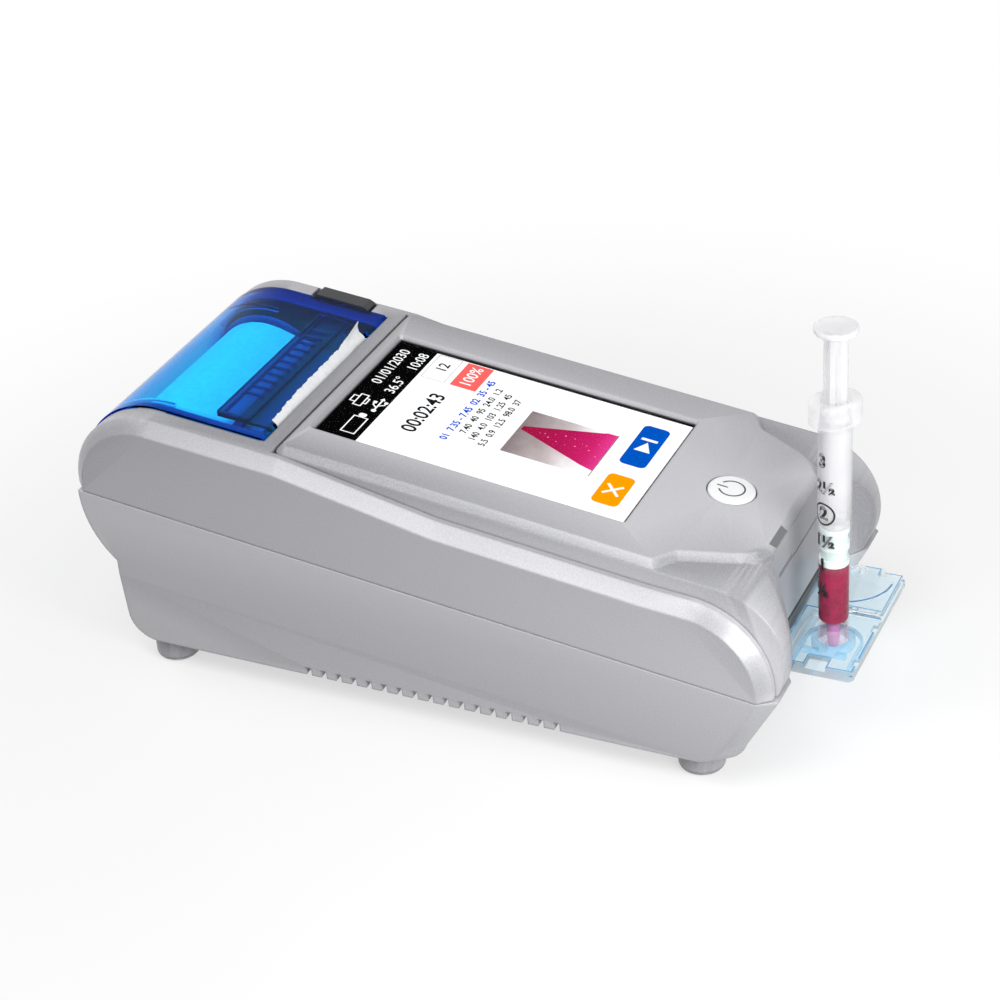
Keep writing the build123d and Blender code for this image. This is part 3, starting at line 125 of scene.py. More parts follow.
def part(made, kind, **values):
    """Adds a node to a material and sets its inputs and settings by name."""
    node = made.node_tree.nodes.new(kind)
    for key, value in values.items():
        if key in node.inputs:
            node.inputs[key].default_value = value
        else:
            setattr(node, key, value)
    return node


def wire(made, start, end):
    """Links one node's output to another's input."""
    made.node_tree.links.new(start, end)


def skin_of(made):
    """The material's own surface shader."""
    return made.node_tree.nodes["Principled BSDF"]


def place_of(made):
    """Object coordinates in metres, shared by the noises of one material."""
    found = made.node_tree.nodes.get("Texture Coordinate")
    return (found or part(made, "ShaderNodeTexCoord")).outputs["Object"]


def tone_ramp(made, stops):
    """A colour ramp that runs through the given places and tones."""
    ramp = part(made, "ShaderNodeValToRGB")
    for k, (at, tone) in enumerate(stops):
        mark = ramp.color_ramp.elements[k] if k < 2 else ramp.color_ramp.elements.new(at)
        mark.position = at
        mark.color = (*tone, 1.0)
    return ramp


def span_along(made, axis, start, end):
    """A share that grows from 0 to 1 between two places along an axis, in metres."""
    split = part(made, "ShaderNodeSeparateXYZ")
    span = part(made, "ShaderNodeMapRange")
    span.inputs["From Min"].default_value = start
    span.inputs["From Max"].default_value = end
    wire(made, place_of(made), split.inputs["Vector"])
    wire(made, split.outputs[axis], span.inputs["Value"])
    return span.outputs["Result"]


def tone_blend(made, share, first, tone):
    """Base colour that goes from what a socket gives to a plain tone."""
    blend = part(made, "ShaderNodeMix", data_type="RGBA")
    rgba = [s for s in blend.inputs if s.type == "RGBA"]
    rgba[1].default_value = (*tone, 1.0)
    wire(made, share, blend.inputs["Factor"])
    wire(made, first, rgba[0])
    mixed = [s for s in blend.outputs if s.type == "RGBA"][0]
    wire(made, mixed, skin_of(made).inputs["Base Color"])


def grain(made, scale, dark, light, detail=3.0, low=0.35, high=0.65):
    """Base colour that wanders between two tones."""
    noise = part(made, "ShaderNodeTexNoise", Scale=scale, Detail=detail, Roughness=0.6)
    ramp = tone_ramp(made, ((low, dark), (high, light)))
    wire(made, place_of(made), noise.inputs["Vector"])
    wire(made, noise.outputs["Fac"], ramp.inputs["Fac"])
    wire(made, ramp.outputs["Color"], skin_of(made).inputs["Base Color"])
    return ramp


def sheen_patches(made, scale, low, high):
    """Roughness that varies softly over the surface, as handled plastic does."""
    noise = part(made, "ShaderNodeTexNoise", Scale=scale, Detail=4.0, Roughness=0.55)
    span = part(made, "ShaderNodeMapRange")
    span.inputs["To Min"].default_value = low
    span.inputs["To Max"].default_value = high
    wire(made, place_of(made), noise.inputs["Vector"])
    wire(made, noise.outputs["Fac"], span.inputs["Value"])
    wire(made, span.outputs["Result"], skin_of(made).inputs["Roughness"])


def relief(made, scale, height, edge=0.0):
    """Fine moulded texture, and edges rounded by the given radius in metres."""
    noise = part(made, "ShaderNodeTexNoise", Scale=scale, Detail=2.0, Roughness=0.5)
    bump = part(made, "ShaderNodeBump", Strength=0.6, Distance=height)
    wire(made, place_of(made), noise.inputs["Vector"])
    wire(made, noise.outputs["Fac"], bump.inputs["Height"])
    if edge:
        round_edge = part(made, "ShaderNodeBevel", samples=4, Radius=edge)
        wire(made, round_edge.outputs["Normal"], bump.inputs["Normal"])
    wire(made, bump.outputs["Normal"], skin_of(made).inputs["Normal"])


def paint_edge_highlight(made, ramp, highlight_tone):
    """Painted highlight: lightens sharp outer edges, as though they catch the light."""
    shape = part(made, "ShaderNodeNewGeometry")
    span = part(made, "ShaderNodeMapRange")
    span.inputs["From Min"].default_value = 0.52
    span.inputs["From Max"].default_value = 0.60
    span.inputs["To Max"].default_value = 0.5
    wire(made, shape.outputs["Pointiness"], span.inputs["Value"])
    tone_blend(made, span.outputs["Result"], ramp.outputs["Color"], highlight_tone)


def see_through(made, share):
    """Even opacity of clear stock."""
    skin_of(made).inputs["Alpha"].default_value = share


def see_through_by_height(made, stops):
    """Opacity of clear stock, as shares at given heights in millimetres."""
    low, high = stops[0][0], stops[-1][0]
    ramp = tone_ramp(made, [((z - low) / (high - low), (share, share, share)) for z, share in stops])
    wire(made, span_along(made, "Z", low * MM, high * MM), ramp.inputs["Fac"])
    wire(made, ramp.outputs["Color"], skin_of(made).inputs["Alpha"])


def tint_inside(made, colour, density):
    """Clear stock that deepens where it is thick."""
    inside = part(made, "ShaderNodeVolumeAbsorption", Color=(*colour, 1.0), Density=density)
    wire(made, inside.outputs["Volume"], made.node_tree.nodes["Material Output"].inputs["Volume"])


def lamp_light(made, passed):
    """Lets the light of lamps and surroundings through clear stock, with its tint."""
    path = part(made, "ShaderNodeLightPath")
    veil = part(made, "ShaderNodeBsdfTransparent", Color=(*passed, 1.0))
    mix = part(made, "ShaderNodeMixShader")
    wire(made, path.outputs["Is Shadow Ray"], mix.inputs[0])
    wire(made, skin_of(made).outputs["BSDF"], mix.inputs[1])
    wire(made, veil.outputs["BSDF"], mix.inputs[2])
    wire(made, mix.outputs["Shader"], made.node_tree.nodes["Material Output"].inputs["Surface"])


def coat(node_names, made):
    """Gives CAD nodes a finish without touching their meshes."""
    for name in node_names:
        mesh = NODES[name].data
        mesh.materials.clear()
        mesh.materials.append(made)


def keep(name, mesh, made, body, smooth=True):
    """Turns a mesh into a named piece that rides on a body."""
    piece = bpy.data.objects.new(name, mesh)
    bpy.context.scene.collection.objects.link(piece)
    mesh.materials.append(made)
    if smooth:
        mesh.shade_smooth()
        mesh.set_sharp_from_angle(angle=math.radians(32))
    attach(piece, body)
    return piece


def from_faces(name, points, faces):
    """A mesh from points in millimetres, with its faces turned outward."""
    mesh = bpy.data.meshes.new(name)
    mesh.from_pydata([Vector(p) * MM for p in points], [], faces)
    mesh.validate()
    work = bmesh.new()
    work.from_mesh(mesh)
    bmesh.ops.recalc_face_normals(work, faces=work.faces)
    work.to_mesh(mesh)
    work.free()
    return mesh


def slab(name, outline, lay, low, high, bevel=0.0):
    """A flat shape from an outline, laid by a function of x, y and height."""
    count = len(outline)
    points = [lay(x, y, low) for x, y in outline] + [lay(x, y, high) for x, y in outline]
    faces = [tuple(range(count - 1, -1, -1)), tuple(range(count, 2 * count))]
    faces += [(i, (i + 1) % count, count + (i + 1) % count, count + i) for i in range(count)]
    mesh = from_faces(name, points, faces)
    if bevel:
        work = bmesh.new()
        work.from_mesh(mesh)
        bmesh.ops.bevel(work, geom=work.edges[:], offset=bevel * MM, segments=2, profile=0.5, affect="EDGES")
        work.to_mesh(mesh)
        work.free()
    return mesh


def rounded(x0, x1, y0, y1, r, steps=5):
    """Outline of a rectangle with round corners."""
    corners = ((x1 - r, y1 - r, 0), (x0 + r, y1 - r, 90), (x0 + r, y0 + r, 180), (x1 - r, y0 + r, 270))
    points = []
    for cx, cy, start in corners:
        for k in range(steps + 1):
            a = math.radians(start + 90 * k / steps)
            points.append((cx + r * math.cos(a), cy + r * math.sin(a)))
    return points


def on_deck(x, y, lift):
    """A place on the sloping deck, y forward from its rear edge as a negative number."""
    return Vector((x, 0.0, 0.0)) + DECK_ORIGIN + DECK_BACK * y + DECK_UP * lift


def on_chamfer(x, down, lift):
    """A place on the sloping front edge of the cover, measured down from its upper corner."""
    y = FRONT_CORNER_Y - FRONT_FALL_Y * down - FRONT_FALL_Z * lift
    return Vector((x, y, FRONT_CORNER_Z - FRONT_FALL_Z * down + FRONT_FALL_Y * lift))


def flat(x, y, z):
    """A place in the plain frame."""
    return Vector((x, y, z))


def stroke(points, width, lay, low, high, closed=False):
    """A line drawn with a pen of the given width: one short slab for each leg."""
    made = []
    for (ax, ay), (bx, by) in zip(points, points[1:] + points[:1] if closed else points[1:]):
        length = math.hypot(bx - ax, by - ay)
        ux, uy = (bx - ax) / length, (by - ay) / length
        h = width / 2
        ring = [(ax - ux * h - uy * h, ay - uy * h + ux * h), (ax - ux * h + uy * h, ay - uy * h - ux * h),
                (bx + ux * h + uy * h, by + uy * h - ux * h), (bx + ux * h - uy * h, by + uy * h + ux * h)]
        made.append(slab("leg", ring, lay, low, high))
    return joined("stroke", made)


def circle(cx, cy, r, start=0.0, end=360.0, steps=32):
    """Points along an arc, in degrees."""
    return [(cx + r * math.cos(math.radians(start + (end - start) * k / steps)),
             cy + r * math.sin(math.radians(start + (end - start) * k / steps))) for k in range(steps + 1)]


def lathe(name, rings, centre, steps=48):
    """A turned piece from (radius, z) rings about an upright axis."""
    points, faces = [], []
    for r, z in rings:
        for k in range(steps):
            a = 2 * math.pi * k / steps
            points.append((centre[0] + r * math.cos(a), centre[1] + r * math.sin(a), z))
    for i in range(len(rings) - 1):
        for k in range(steps):
            n = (k + 1) % steps
            faces.append((i * steps + k, i * steps + n, (i + 1) * steps + n, (i + 1) * steps + k))
    return from_faces(name, points, faces)


def ribbon(name, sections):
    """A bar through a row of four-cornered sections, closed at both ends."""
    points = [point for section in sections for point in section]
    last = 4 * (len(sections) - 1)
    faces = []
    for k in range(0, last, 4):
        for j in range(4):
            n = (j + 1) % 4
            faces.append((k + j, k + n, k + 4 + n, k + 4 + j))
    faces += [(0, 1, 2, 3), (last + 3, last + 2, last + 1, last)]
    return from_faces(name, points, faces)


def joined(name, meshes):
    """One mesh from several."""
    work = bmesh.new()
    for mesh in meshes:
        work.from_mesh(mesh)
        bpy.data.meshes.remove(mesh)
    mesh = bpy.data.meshes.new(name)
    work.to_mesh(mesh)
    work.free()
    return mesh


def digits(name, words, size, lay, x, y, low, thick, weight):
    """Numbers as a thin mesh, laid by a function of x, y and height in millimetres."""
    curve = bpy.data.curves.new(name, "FONT")
    curve.body = words
    curve.size = size
    curve.offset = weight * size
    curve.align_x = "CENTER"
    curve.align_y = "CENTER"
    curve.extrude = thick / 2
    curve.resolution_u = 4
    holder = bpy.data.objects.new(name, curve)
    bpy.context.scene.collection.objects.link(holder)
    bpy.context.view_layer.update()
    mesh = bpy.data.meshes.new_from_object(holder.evaluated_get(bpy.context.evaluated_depsgraph_get()))
    bpy.data.objects.remove(holder)
    bpy.data.curves.remove(curve)
    for v in mesh.vertices:
        v.co = lay(x + v.co.x, y + v.co.y, low + thick / 2 + v.co.z) * MM
    mesh.materials.clear()
    return mesh


# ---------------------------------------------------------------- settings


class AnalyzerCaseSettings(bpy.types.PropertyGroup):
    lacquer: FloatVectorProperty(
        name="Lacquer",
        description="Colour of the metallic case lacquer",
        subtype="COLOR",
        size=3,
        min=0.0,
        max=1.0,
        default=(0.325, 0.325, 0.348),
    )
    flake_size: FloatProperty(
        name="Flake size",
        description="Size of the sparkle in the lacquer",
        subtype="DISTANCE",
        unit="LENGTH",
        default=0.0004,
        min=0.0001,
        max=0.002,
    )
    edge_round: FloatProperty(
        name="Edge rounding",
        description="Radius by which moulded edges catch the light",
        subtype="DISTANCE",
        unit="LENGTH",
        default=0.0009,
        min=0.0,
        max=0.002,
    )
    button_colour: FloatVectorProperty(
        name="Button",
        description="Colour of the power button",
        subtype="COLOR",
        size=3,
        min=0.0,
        max=1.0,
        default=(0.93, 0.935, 0.945),
    )


class AnalyzerScreenSettings(bpy.types.PropertyGroup):
    brightness: FloatProperty(
        name="Brightness",
        description="Light given by a white pixel",
        default=1.0,
        min=0.0,
        max=2.0,
        subtype="FACTOR",
    )
    ok_colour: FloatVectorProperty(
        name="Start key",
        description="Colour of the start key on the screen",
        subtype="COLOR",
        size=3,
        min=0.0,
        max=1.0,
        default=(0.0, 0.085, 0.50),
    )
    stop_colour: FloatVectorProperty(
        name="Stop key",
        description="Colour of the stop key on the screen",
        subtype="COLOR",
        size=3,
        min=0.0,
        max=1.0,
        default=(1.0, 0.33, 0.0),
    )


class AnalyzerPrinterSettings(bpy.types.PropertyGroup):
    door_colour: FloatVectorProperty(
        name="Door",
        description="Colour that stays in light that passes the clear door",
        subtype="COLOR",
        size=3,
        min=0.0,
        max=1.0,
        default=(0.03, 0.82, 0.97),
    )
    door_depth: FloatProperty(
        name="Door tint",
        description="How fast the clear door deepens with thickness, per metre",
        default=800.0,
        min=0.0,
        max=2000.0,
    )
    paper_height: FloatProperty(
        name="Paper above the slot",
        description="How far the highest torn corner stands above the slot",
        subtype="DISTANCE",
        unit="LENGTH",
        default=0.0052,
        min=0.0,
        max=0.02,
    )


class AnalyzerSampleSettings(bpy.types.PropertyGroup):
    card_colour: FloatVectorProperty(
        name="Card",
        description="Colour that stays in light that passes the sensor card",
        subtype="COLOR",
        size=3,
        min=0.0,
        max=1.0,
        default=(0.20, 0.72, 0.95),
    )
    blood_colour: FloatVectorProperty(
        name="Sample",
        description="Colour of the sample in the syringe",
        subtype="COLOR",
        size=3,
        min=0.0,
        max=1.0,
        default=(0.26, 0.003, 0.045),
    )
    thread_turns: IntProperty(
        name="Thread turns",
        description="Turns of the collar's thread",
        default=4,
        min=1,
        max=12,
    )


class AnalyzerStageSettings(bpy.types.PropertyGroup):
    lens: FloatProperty(
        name="Lens",
        description="Focal length for a 36 mm square frame",
        subtype="DISTANCE_CAMERA",
        default=91.23,
        min=10.0,
        max=500.0,
    )
    ambient: FloatProperty(
        name="Ambient",
        description="Light that the surroundings give",
        default=0.29,
        min=0.0,
        max=2.0,
    )
    key_power: FloatProperty(
        name="Key power",
        description="Power of the large lamp above and behind",
        subtype="POWER",
        unit="POWER",
        default=8.3,
        min=0.0,
        max=200.0,
    )
    front_power: FloatProperty(
        name="Front power",
        description="Power of the small lamp at the near front",
        subtype="POWER",
        unit="POWER",
        default=0.80,
        min=0.0,
        max=200.0,
    )
    rear_power: FloatProperty(
        name="Rear power",
        description="Power of the lamp behind the far side",
        subtype="POWER",
        unit="POWER",
        default=1.5,
        min=0.0,
        max=200.0,
    )


# ---------------------------------------------------------------- finishes


def lacquer_finish(settings, name="silver_lacquer", shade_factor=1.0):
    """Silver lacquer with fine metal flake over moulded plastic."""
    # A shade factor under 1 gives a darker copy of the lacquer: painted shade.
    tone = [c * shade_factor for c in settings.lacquer]
    made = finish(name, tone, 0.42, metallic=0.15, coat=0.15)
    dark = [c * 0.84 for c in tone]
    light = [min(1.0, c * 1.14) for c in tone]
    ramp = grain(made, 1.0 / settings.flake_size, dark, light, detail=1.0, low=0.30, high=0.70)
    # Painted highlight along the outer edges of the lacquer.
    paint_edge_highlight(made, ramp, (0.80, 0.80, 0.83))
    sheen_patches(made, 22.0, 0.37, 0.47)
    relief(made, 0.6 / settings.flake_size, 0.00003, settings.edge_round)
    return made


def moulded(name, colour, roughness=0.5, edge=0.0003):
    """Textured moulded plastic."""
    made = finish(name, colour, roughness)
    dark = [c * 0.82 for c in colour]
    light = [min(1.0, c * 1.14 + 0.004) for c in colour]
    ramp = grain(made, 160.0, dark, light)
    # Painted highlight along the outer edges of the plastic.
    paint_edge_highlight(made, ramp, [min(1.0, c * 1.6 + 0.05) for c in colour])
    sheen_patches(made, 60.0, max(0.05, roughness - 0.10), roughness + 0.10)
    relief(made, 2600.0, 0.00003, edge)
    return made


def glossy(name, colour, roughness=0.18, edge=0.0003):
    """Polished moulded plastic."""
    made = finish(name, colour, roughness, coat=0.4)
    grain(made, 60.0, [c * 0.96 for c in colour], [min(1.0, c * 1.03) for c in colour])
    sheen_patches(made, 40.0, roughness * 0.7, roughness * 1.4)
    relief(made, 500.0, 0.000012, edge)
    return made


def steel(name, colour=(0.55, 0.55, 0.56), roughness=0.28):
    """Drawn steel with fine lines along its length."""
    made = finish(name, colour, roughness, metallic=1.0)
    grain(made, 400.0, [c * 0.8 for c in colour], [min(1.0, c * 1.15) for c in colour], detail=5.0)
    sheen_patches(made, 300.0, roughness * 0.7, roughness * 1.5)
    relief(made, 1800.0, 0.00001, 0.0002)
    return made


def board_finish():
    """Green solder mask over a faint maze of copper tracks."""
    made = finish("solder_mask", (0.01, 0.12, 0.05), 0.32, coat=0.3)
    tracks = part(made, "ShaderNodeTexBrick", Scale=420.0)
    tracks.inputs["Color1"].default_value = (0.008, 0.11, 0.045, 1)
    tracks.inputs["Color2"].default_value = (0.012, 0.15, 0.06, 1)
    tracks.inputs["Mortar"].default_value = (0.03, 0.24, 0.09, 1)
    tracks.inputs["Mortar Size"].default_value = 0.05
    wire(made, place_of(made), tracks.inputs["Vector"])
    wire(made, tracks.outputs["Color"], skin_of(made).inputs["Base Color"])
    sheen_patches(made, 90.0, 0.22, 0.42)
    relief(made, 900.0, 0.00002, 0.0002)
    return made


def paper_finish():
    """Thermal paper with soft fibre mottling."""
    made = finish("thermal_paper", (0.90, 0.91, 0.92), 0.72)
    grain(made, 700.0, (0.84, 0.85, 0.87), (0.93, 0.94, 0.95), detail=6.0)
    sheen_patches(made, 120.0, 0.6, 0.85)
    relief(made, 1500.0, 0.000015)
    return made


def clear_stock(name, surface, inner, density, roughness, ior=1.49):
    """Clear coloured plastic whose colour gathers with depth."""
    made = finish(name, surface, roughness, clear=1.0, ior=ior)
    sheen_patches(made, 80.0, roughness * 0.5, roughness * 1.8)
    relief(made, 240.0, 0.000012, 0.0003)
    tint_inside(made, inner, density)
    return made


def printed(name, colour):
    """Ink laid on a moulded part."""
    made = finish(name, colour, 0.45)
    grain(made, 1400.0, [c * 0.85 for c in colour], [min(1.0, c * 1.1 + 0.003) for c in colour])
    sheen_patches(made, 200.0, 0.35, 0.55)
    return made


def lit(name, colour, strength):
    """A patch of the lit screen, with the faint grid of its pixels."""
    made = finish(name, [c * 0.1 for c in colour], 0.5)
    skin_of(made).inputs["Specular IOR Level"].default_value = 0.0
    cells = part(made, "ShaderNodeTexChecker", Scale=6200.0)
    cells.inputs["Color1"].default_value = (*colour, 1.0)
    cells.inputs["Color2"].default_value = (*[c * 0.97 for c in colour], 1.0)
    wire(made, place_of(made), cells.inputs["Vector"])
    wire(made, cells.outputs["Color"], skin_of(made).inputs["Emission Color"])
    skin_of(made).inputs["Emission Strength"].default_value = strength
    return made


# ---------------------------------------------------------------- operators


class ANALYZER_OT_case(bpy.types.Operator):
    """Finish the case, the front cover, the hatch and the feet"""

    bl_idname = "analyzer.case"
    bl_label = "Case"

    def execute(self, context):
        settings = context.scene.analyzer_case
        lacquer = lacquer_finish(settings)
        coat(["front_cover", "battery_hatch"], lacquer)
        shell = lacquer_finish(settings, "shell_lacquer")
        self.roll_well(shell)
        coat(["upper_case", "lower_case"], shell)
        # Painted shade: the feet, under the case, take a darker copy of the case lacquer.
        coat(["feet"], lacquer_finish(settings, "foot_lacquer_painted_shade", 0.92))
        # Dark slabs over two dark patches: one on the front chamfer, one on the front face.
        dark_patch_stock = moulded("dark_patch_plastic", (0.095, 0.095, 0.10), 0.35, 0.0)
        window = [(-19.2, 0.35), (-9.0, 0.35), (-8.3, 2.9), (-17.6, 2.9)]
        keep("dark_chamfer_patch", slab("w", window, on_chamfer, 0.0, 0.05), dark_patch_stock, "case", smooth=False)
        slot = [(-16.2, -92.0), (-5.2, -92.0), (-5.2, -92.05), (-16.2, -92.05)]
        keep("dark_front_strip", slab("w", slot, flat, 51.6, 52.9), dark_patch_stock, "case", smooth=False)
        coat(["rating_plate"], steel("blank_plate", (0.70, 0.70, 0.71), 0.4))
        coat(["casing_screws", "board_screws"], steel("screw_steel", (0.42, 0.42, 0.43), 0.35))
        return {"FINISHED"}

    def roll_well(self, made):
        """Bare blue plastic on the inner walls that stand round the paper roll."""
        split = part(made, "ShaderNodeSeparateXYZ")
        wire(made, place_of(made), split.inputs["Vector"])
        inside = None
        for axis, middle, half in ROLL_WELL:
            near = part(made, "ShaderNodeMath", operation="COMPARE")
            near.inputs[1].default_value = middle
            near.inputs[2].default_value = half
            wire(made, split.outputs[axis], near.inputs[0])
            if inside is None:
                inside = near
                continue
            both = part(made, "ShaderNodeMath", operation="MULTIPLY")
            wire(made, inside.outputs[0], both.inputs[0])
            wire(made, near.outputs[0], both.inputs[1])
            inside = both
        lacquer = skin_of(made).inputs["Base Color"].links[0].from_socket
        tone_blend(made, inside.outputs[0], lacquer, (0.012, 0.12, 0.36))


class ANALYZER_OT_button(bpy.types.Operator):
    """Finish the power button and print its symbol"""

    bl_idname = "analyzer.button"
    bl_label = "Power button"

    def execute(self, context):
        settings = context.scene.analyzer_case
        coat(["power_button"], glossy("button_white", list(settings.button_colour), 0.25))
        ink = printed("button_ink", (0.05, 0.05, 0.055))
        gap_start, gap_end, steps = 118, 422, 40
        sections = []
        for k in range(steps + 1):
            a = math.radians(gap_start + (gap_end - gap_start) * k / steps)
            sections.append([
                on_deck(r * math.cos(a), BUTTON_SLOPE_Y + r * math.sin(a), BUTTON_TOP + z)
                for r, z in ((3.45, 0.0), (3.95, 0.0), (3.95, PRINT), (3.45, PRINT))
            ])
        ring = ribbon("ring", sections)
        bar_outline = rounded(-0.25, 0.25, BUTTON_SLOPE_Y + 1.2, BUTTON_SLOPE_Y + 4.5, 0.2)
        bar = slab("bar", bar_outline, on_deck, BUTTON_TOP, BUTTON_TOP + PRINT)
        keep("power_symbol", joined("power_symbol", [ring, bar]), ink, "power_button")
        return {"FINISHED"}


class ANALYZER_OT_screen(bpy.types.Operator):
    """Light the screen and draw its plain numbers, keys and picture"""

    bl_idname = "analyzer.screen"
    bl_label = "Screen"

    def execute(self, context):
        settings = context.scene.analyzer_screen
        level = settings.brightness
        glass = finish("cover_glass", (0.99, 0.995, 1.0), 0.02, clear=1.0, ior=1.02)
        sheen_patches(glass, 30.0, 0.01, 0.04)
        coat(["touch_glass"], glass)
        coat(["lcd_screen"], lit("screen_white", (1.0, 1.0, 1.0), level))
        coat(["lcd_frame"], moulded("screen_frame", (0.012, 0.012, 0.014), 0.4))
        self.low, self.high = SCREEN_TOP, SCREEN_TOP + PRINT
        self.black = lit("screen_black", (0.002, 0.002, 0.002), level)
        self.white = lit("screen_sign", (0.95, 0.95, 0.95), level)
        self.ink = lit("screen_ink", (0.010, 0.010, 0.012), level)
        self.header()
        self.status(level)
        self.picture(level)
        self.keys(settings, level)
        self.paint_window_shade()
        return {"FINISHED"}

    def keep_flat(self, name, meshes, made):
        """One flat piece of the screen from its meshes."""
        keep(name, joined(name, meshes), made, "case", smooth=False)

    def header(self):
        """Black bar with two rows of numbers and three signs."""
        low, high = self.high, self.high + FACE
        bar = slab("h", rounded(-29.2, 29.2, -12.2, 0.5, 0.05), on_deck, self.low, low)
        self.keep_flat("screen_header", [bar], self.black)
        self.keep_flat("screen_header_digits", [
            digits("d", sign, 4.7, on_deck, x, y, low, FACE, 0.006)
            for sign, x, y in (("01/01/2030", 15.4, -3.4), ("10:08", 21.6, -9.4), ("36.5°", 6.6, -9.2))
        ], self.white)
        printer = [(-8.9, -5.0), (-2.7, -5.0), (-2.7, -2.6), (-8.9, -2.6)]
        battery = [(-23.2, -10.2), (-14.2, -10.2), (-14.2, -5.9), (-23.2, -5.9)]
        self.keep_flat("screen_signs", [
            stroke(printer, 0.42, on_deck, low, high, closed=True),
            stroke([(-7.4, -2.6), (-7.4, -0.9), (-4.2, -0.9), (-4.2, -2.6)], 0.42, on_deck, low, high),
            stroke([(-7.2, -5.0), (-7.2, -6.0), (-4.4, -6.0), (-4.4, -5.0)], 0.42, on_deck, low, high),
            stroke([(-9.0, -9.6), (-2.6, -9.6)], 0.5, on_deck, low, high),
            stroke([(-7.6, -9.6), (-6.2, -8.0), (-5.0, -8.0)], 0.45, on_deck, low, high),
            stroke([(-6.6, -9.6), (-5.2, -11.2), (-4.2, -11.2)], 0.45, on_deck, low, high),
            slab("s", circle(-9.2, -9.6, 0.8, steps=16)[:-1], on_deck, low, high),
            slab("s", [(-3.2, -8.7), (-1.8, -9.6), (-3.2, -10.5)], on_deck, low, high),
            slab("s", rounded(-5.4, -4.2, -8.6, -7.4, 0.1), on_deck, low, high),
            slab("s", circle(-4.0, -11.2, 0.65, steps=12)[:-1], on_deck, low, high),
            stroke(battery, 0.42, on_deck, low, high, closed=True),
            slab("s", rounded(-13.9, -12.0, -9.2, -6.8, 0.7), on_deck, low, high),
        ], self.white)

    def status(self, level):
        """Numbers in plain rows under the header."""
        low, high = self.low, self.high
        line = lit("screen_line", (0.42, 0.42, 0.42), level)
        frame_line = [(15.0, -20.9), (28.7, -20.9), (28.7, -13.4), (15.0, -13.4)]
        self.keep_flat("screen_box", [stroke(frame_line, 0.2, on_deck, low, high, closed=True)], line)
        red = lit("screen_tag", (0.92, 0.13, 0.12), level)
        tag = slab("t", rounded(15.0, 28.8, -31.2, -22.8, 0.05), on_deck, low, high)
        self.keep_flat("screen_tag", [tag], red)
        tag_number = digits("t", "100%", 5.2, on_deck, 21.9, -27.0, high, FACE, 0.01)
        self.keep_flat("screen_tag_number", [tag_number], self.white)
        self.keep_flat("screen_numbers", [
            digits("n", sign, size, on_deck, x, y, low, PRINT, weight)
            for sign, size, x, y, weight in (
                ("12", 4.8, 22.6, -17.2, 0.014),
                ("00:02:43", 6.6, -2.8, -22.9, 0.016),
                ("7.40  40  95  24.0  1.2", 3.05, 6.4, -37.3, 0.018),
                ("140  4.0  103  1.25  45", 3.05, 4.6, -41.0, 0.018),
                ("5.5  0.9  12.5  98.0  37", 3.05, 3.2, -44.7, 0.018),
            )
        ], self.ink)
        blue = lit("screen_blue_ink", (0.0, 0.07, 0.62), level)
        heading = digits("b", "01  7.35 - 7.45  02  35 - 45", 3.3, on_deck, 5.0, -33.6, low, PRINT, 0.025)
        self.keep_flat("screen_heading", [heading], blue)

    def picture(self, level):
        """A plain picture: a red wedge of sample on a grey ground."""
        low, high = self.low, self.high
        face, top = high + 0.02, high + 0.03
        ground = lit("picture_ground", (0.62, 0.55, 0.57), level)
        greys = ((0.0, (0.19, 0.145, 0.145)), (0.25, (0.34, 0.28, 0.28)),
                 (0.55, (0.66, 0.58, 0.60)), (0.85, (1.0, 1.0, 1.0)))
        self.fade(ground, greys, 0.35)
        sheet = slab("g", rounded(-10.0, 13.8, -78.0, -50.4, 0.05), on_deck, low, high)
        self.keep_flat("screen_picture", [sheet], ground)
        wedge = lit("picture_sample", (0.60, 0.02, 0.14), level)
        reds = ((0.0, (0.27, 0.006, 0.03)), (0.5, (0.40, 0.007, 0.075)),
                (0.8, (0.56, 0.015, 0.13)), (1.0, (0.80, 0.05, 0.30)))
        self.fade(wedge, reds, 0.12)
        outline = [(3.2, -51.2), (5.0, -51.4), (13.0, -73.4), (13.7, -74.6), (13.7, -77.7), (-6.8, -77.7), (-5.8, -74.0)]
        self.keep_flat("screen_picture_sample", [slab("w", outline, on_deck, high, face)], wedge)
        line = stroke([(-9.9, -77.85), (13.8, -77.85)], 0.22, on_deck, face, top)
        self.keep_flat("screen_picture_line", [line], self.ink)
        glint = lit("picture_glint", (0.90, 0.30, 0.45), level)
        specks, count = [], 14
        for k in range(count):
            x = 4.0 + 3.4 * math.sin(9.1 * k) * (0.3 + k / count)
            speck = circle(x, -57.0 - 1.45 * k, 0.13 + 0.07 * (k % 3), steps=8)[:-1]
            specks.append(slab("p", speck, on_deck, face, top))
        self.keep_flat("screen_picture_specks", specks, glint)

    def fade(self, made, stops, noise_share):
        """A lit colour that runs through the stops from the picture's rear edge to its front edge."""
        noise = part(made, "ShaderNodeTexNoise", Scale=140.0, Detail=3.0, Roughness=0.6)
        shift = part(made, "ShaderNodeMath", operation="MULTIPLY_ADD")
        shift.inputs[1].default_value = noise_share
        lower = part(made, "ShaderNodeMath", operation="SUBTRACT")
        lower.inputs[1].default_value = noise_share / 2
        ramp = tone_ramp(made, stops)
        wire(made, place_of(made), noise.inputs["Vector"])
        wire(made, noise.outputs["Fac"], shift.inputs[0])
        wire(made, span_along(made, "Y", PICTURE_REAR, PICTURE_FRONT), shift.inputs[2])
        wire(made, shift.outputs[0], lower.inputs[0])
        wire(made, lower.outputs[0], ramp.inputs["Fac"])
        wire(made, ramp.outputs["Color"], skin_of(made).inputs["Emission Color"])

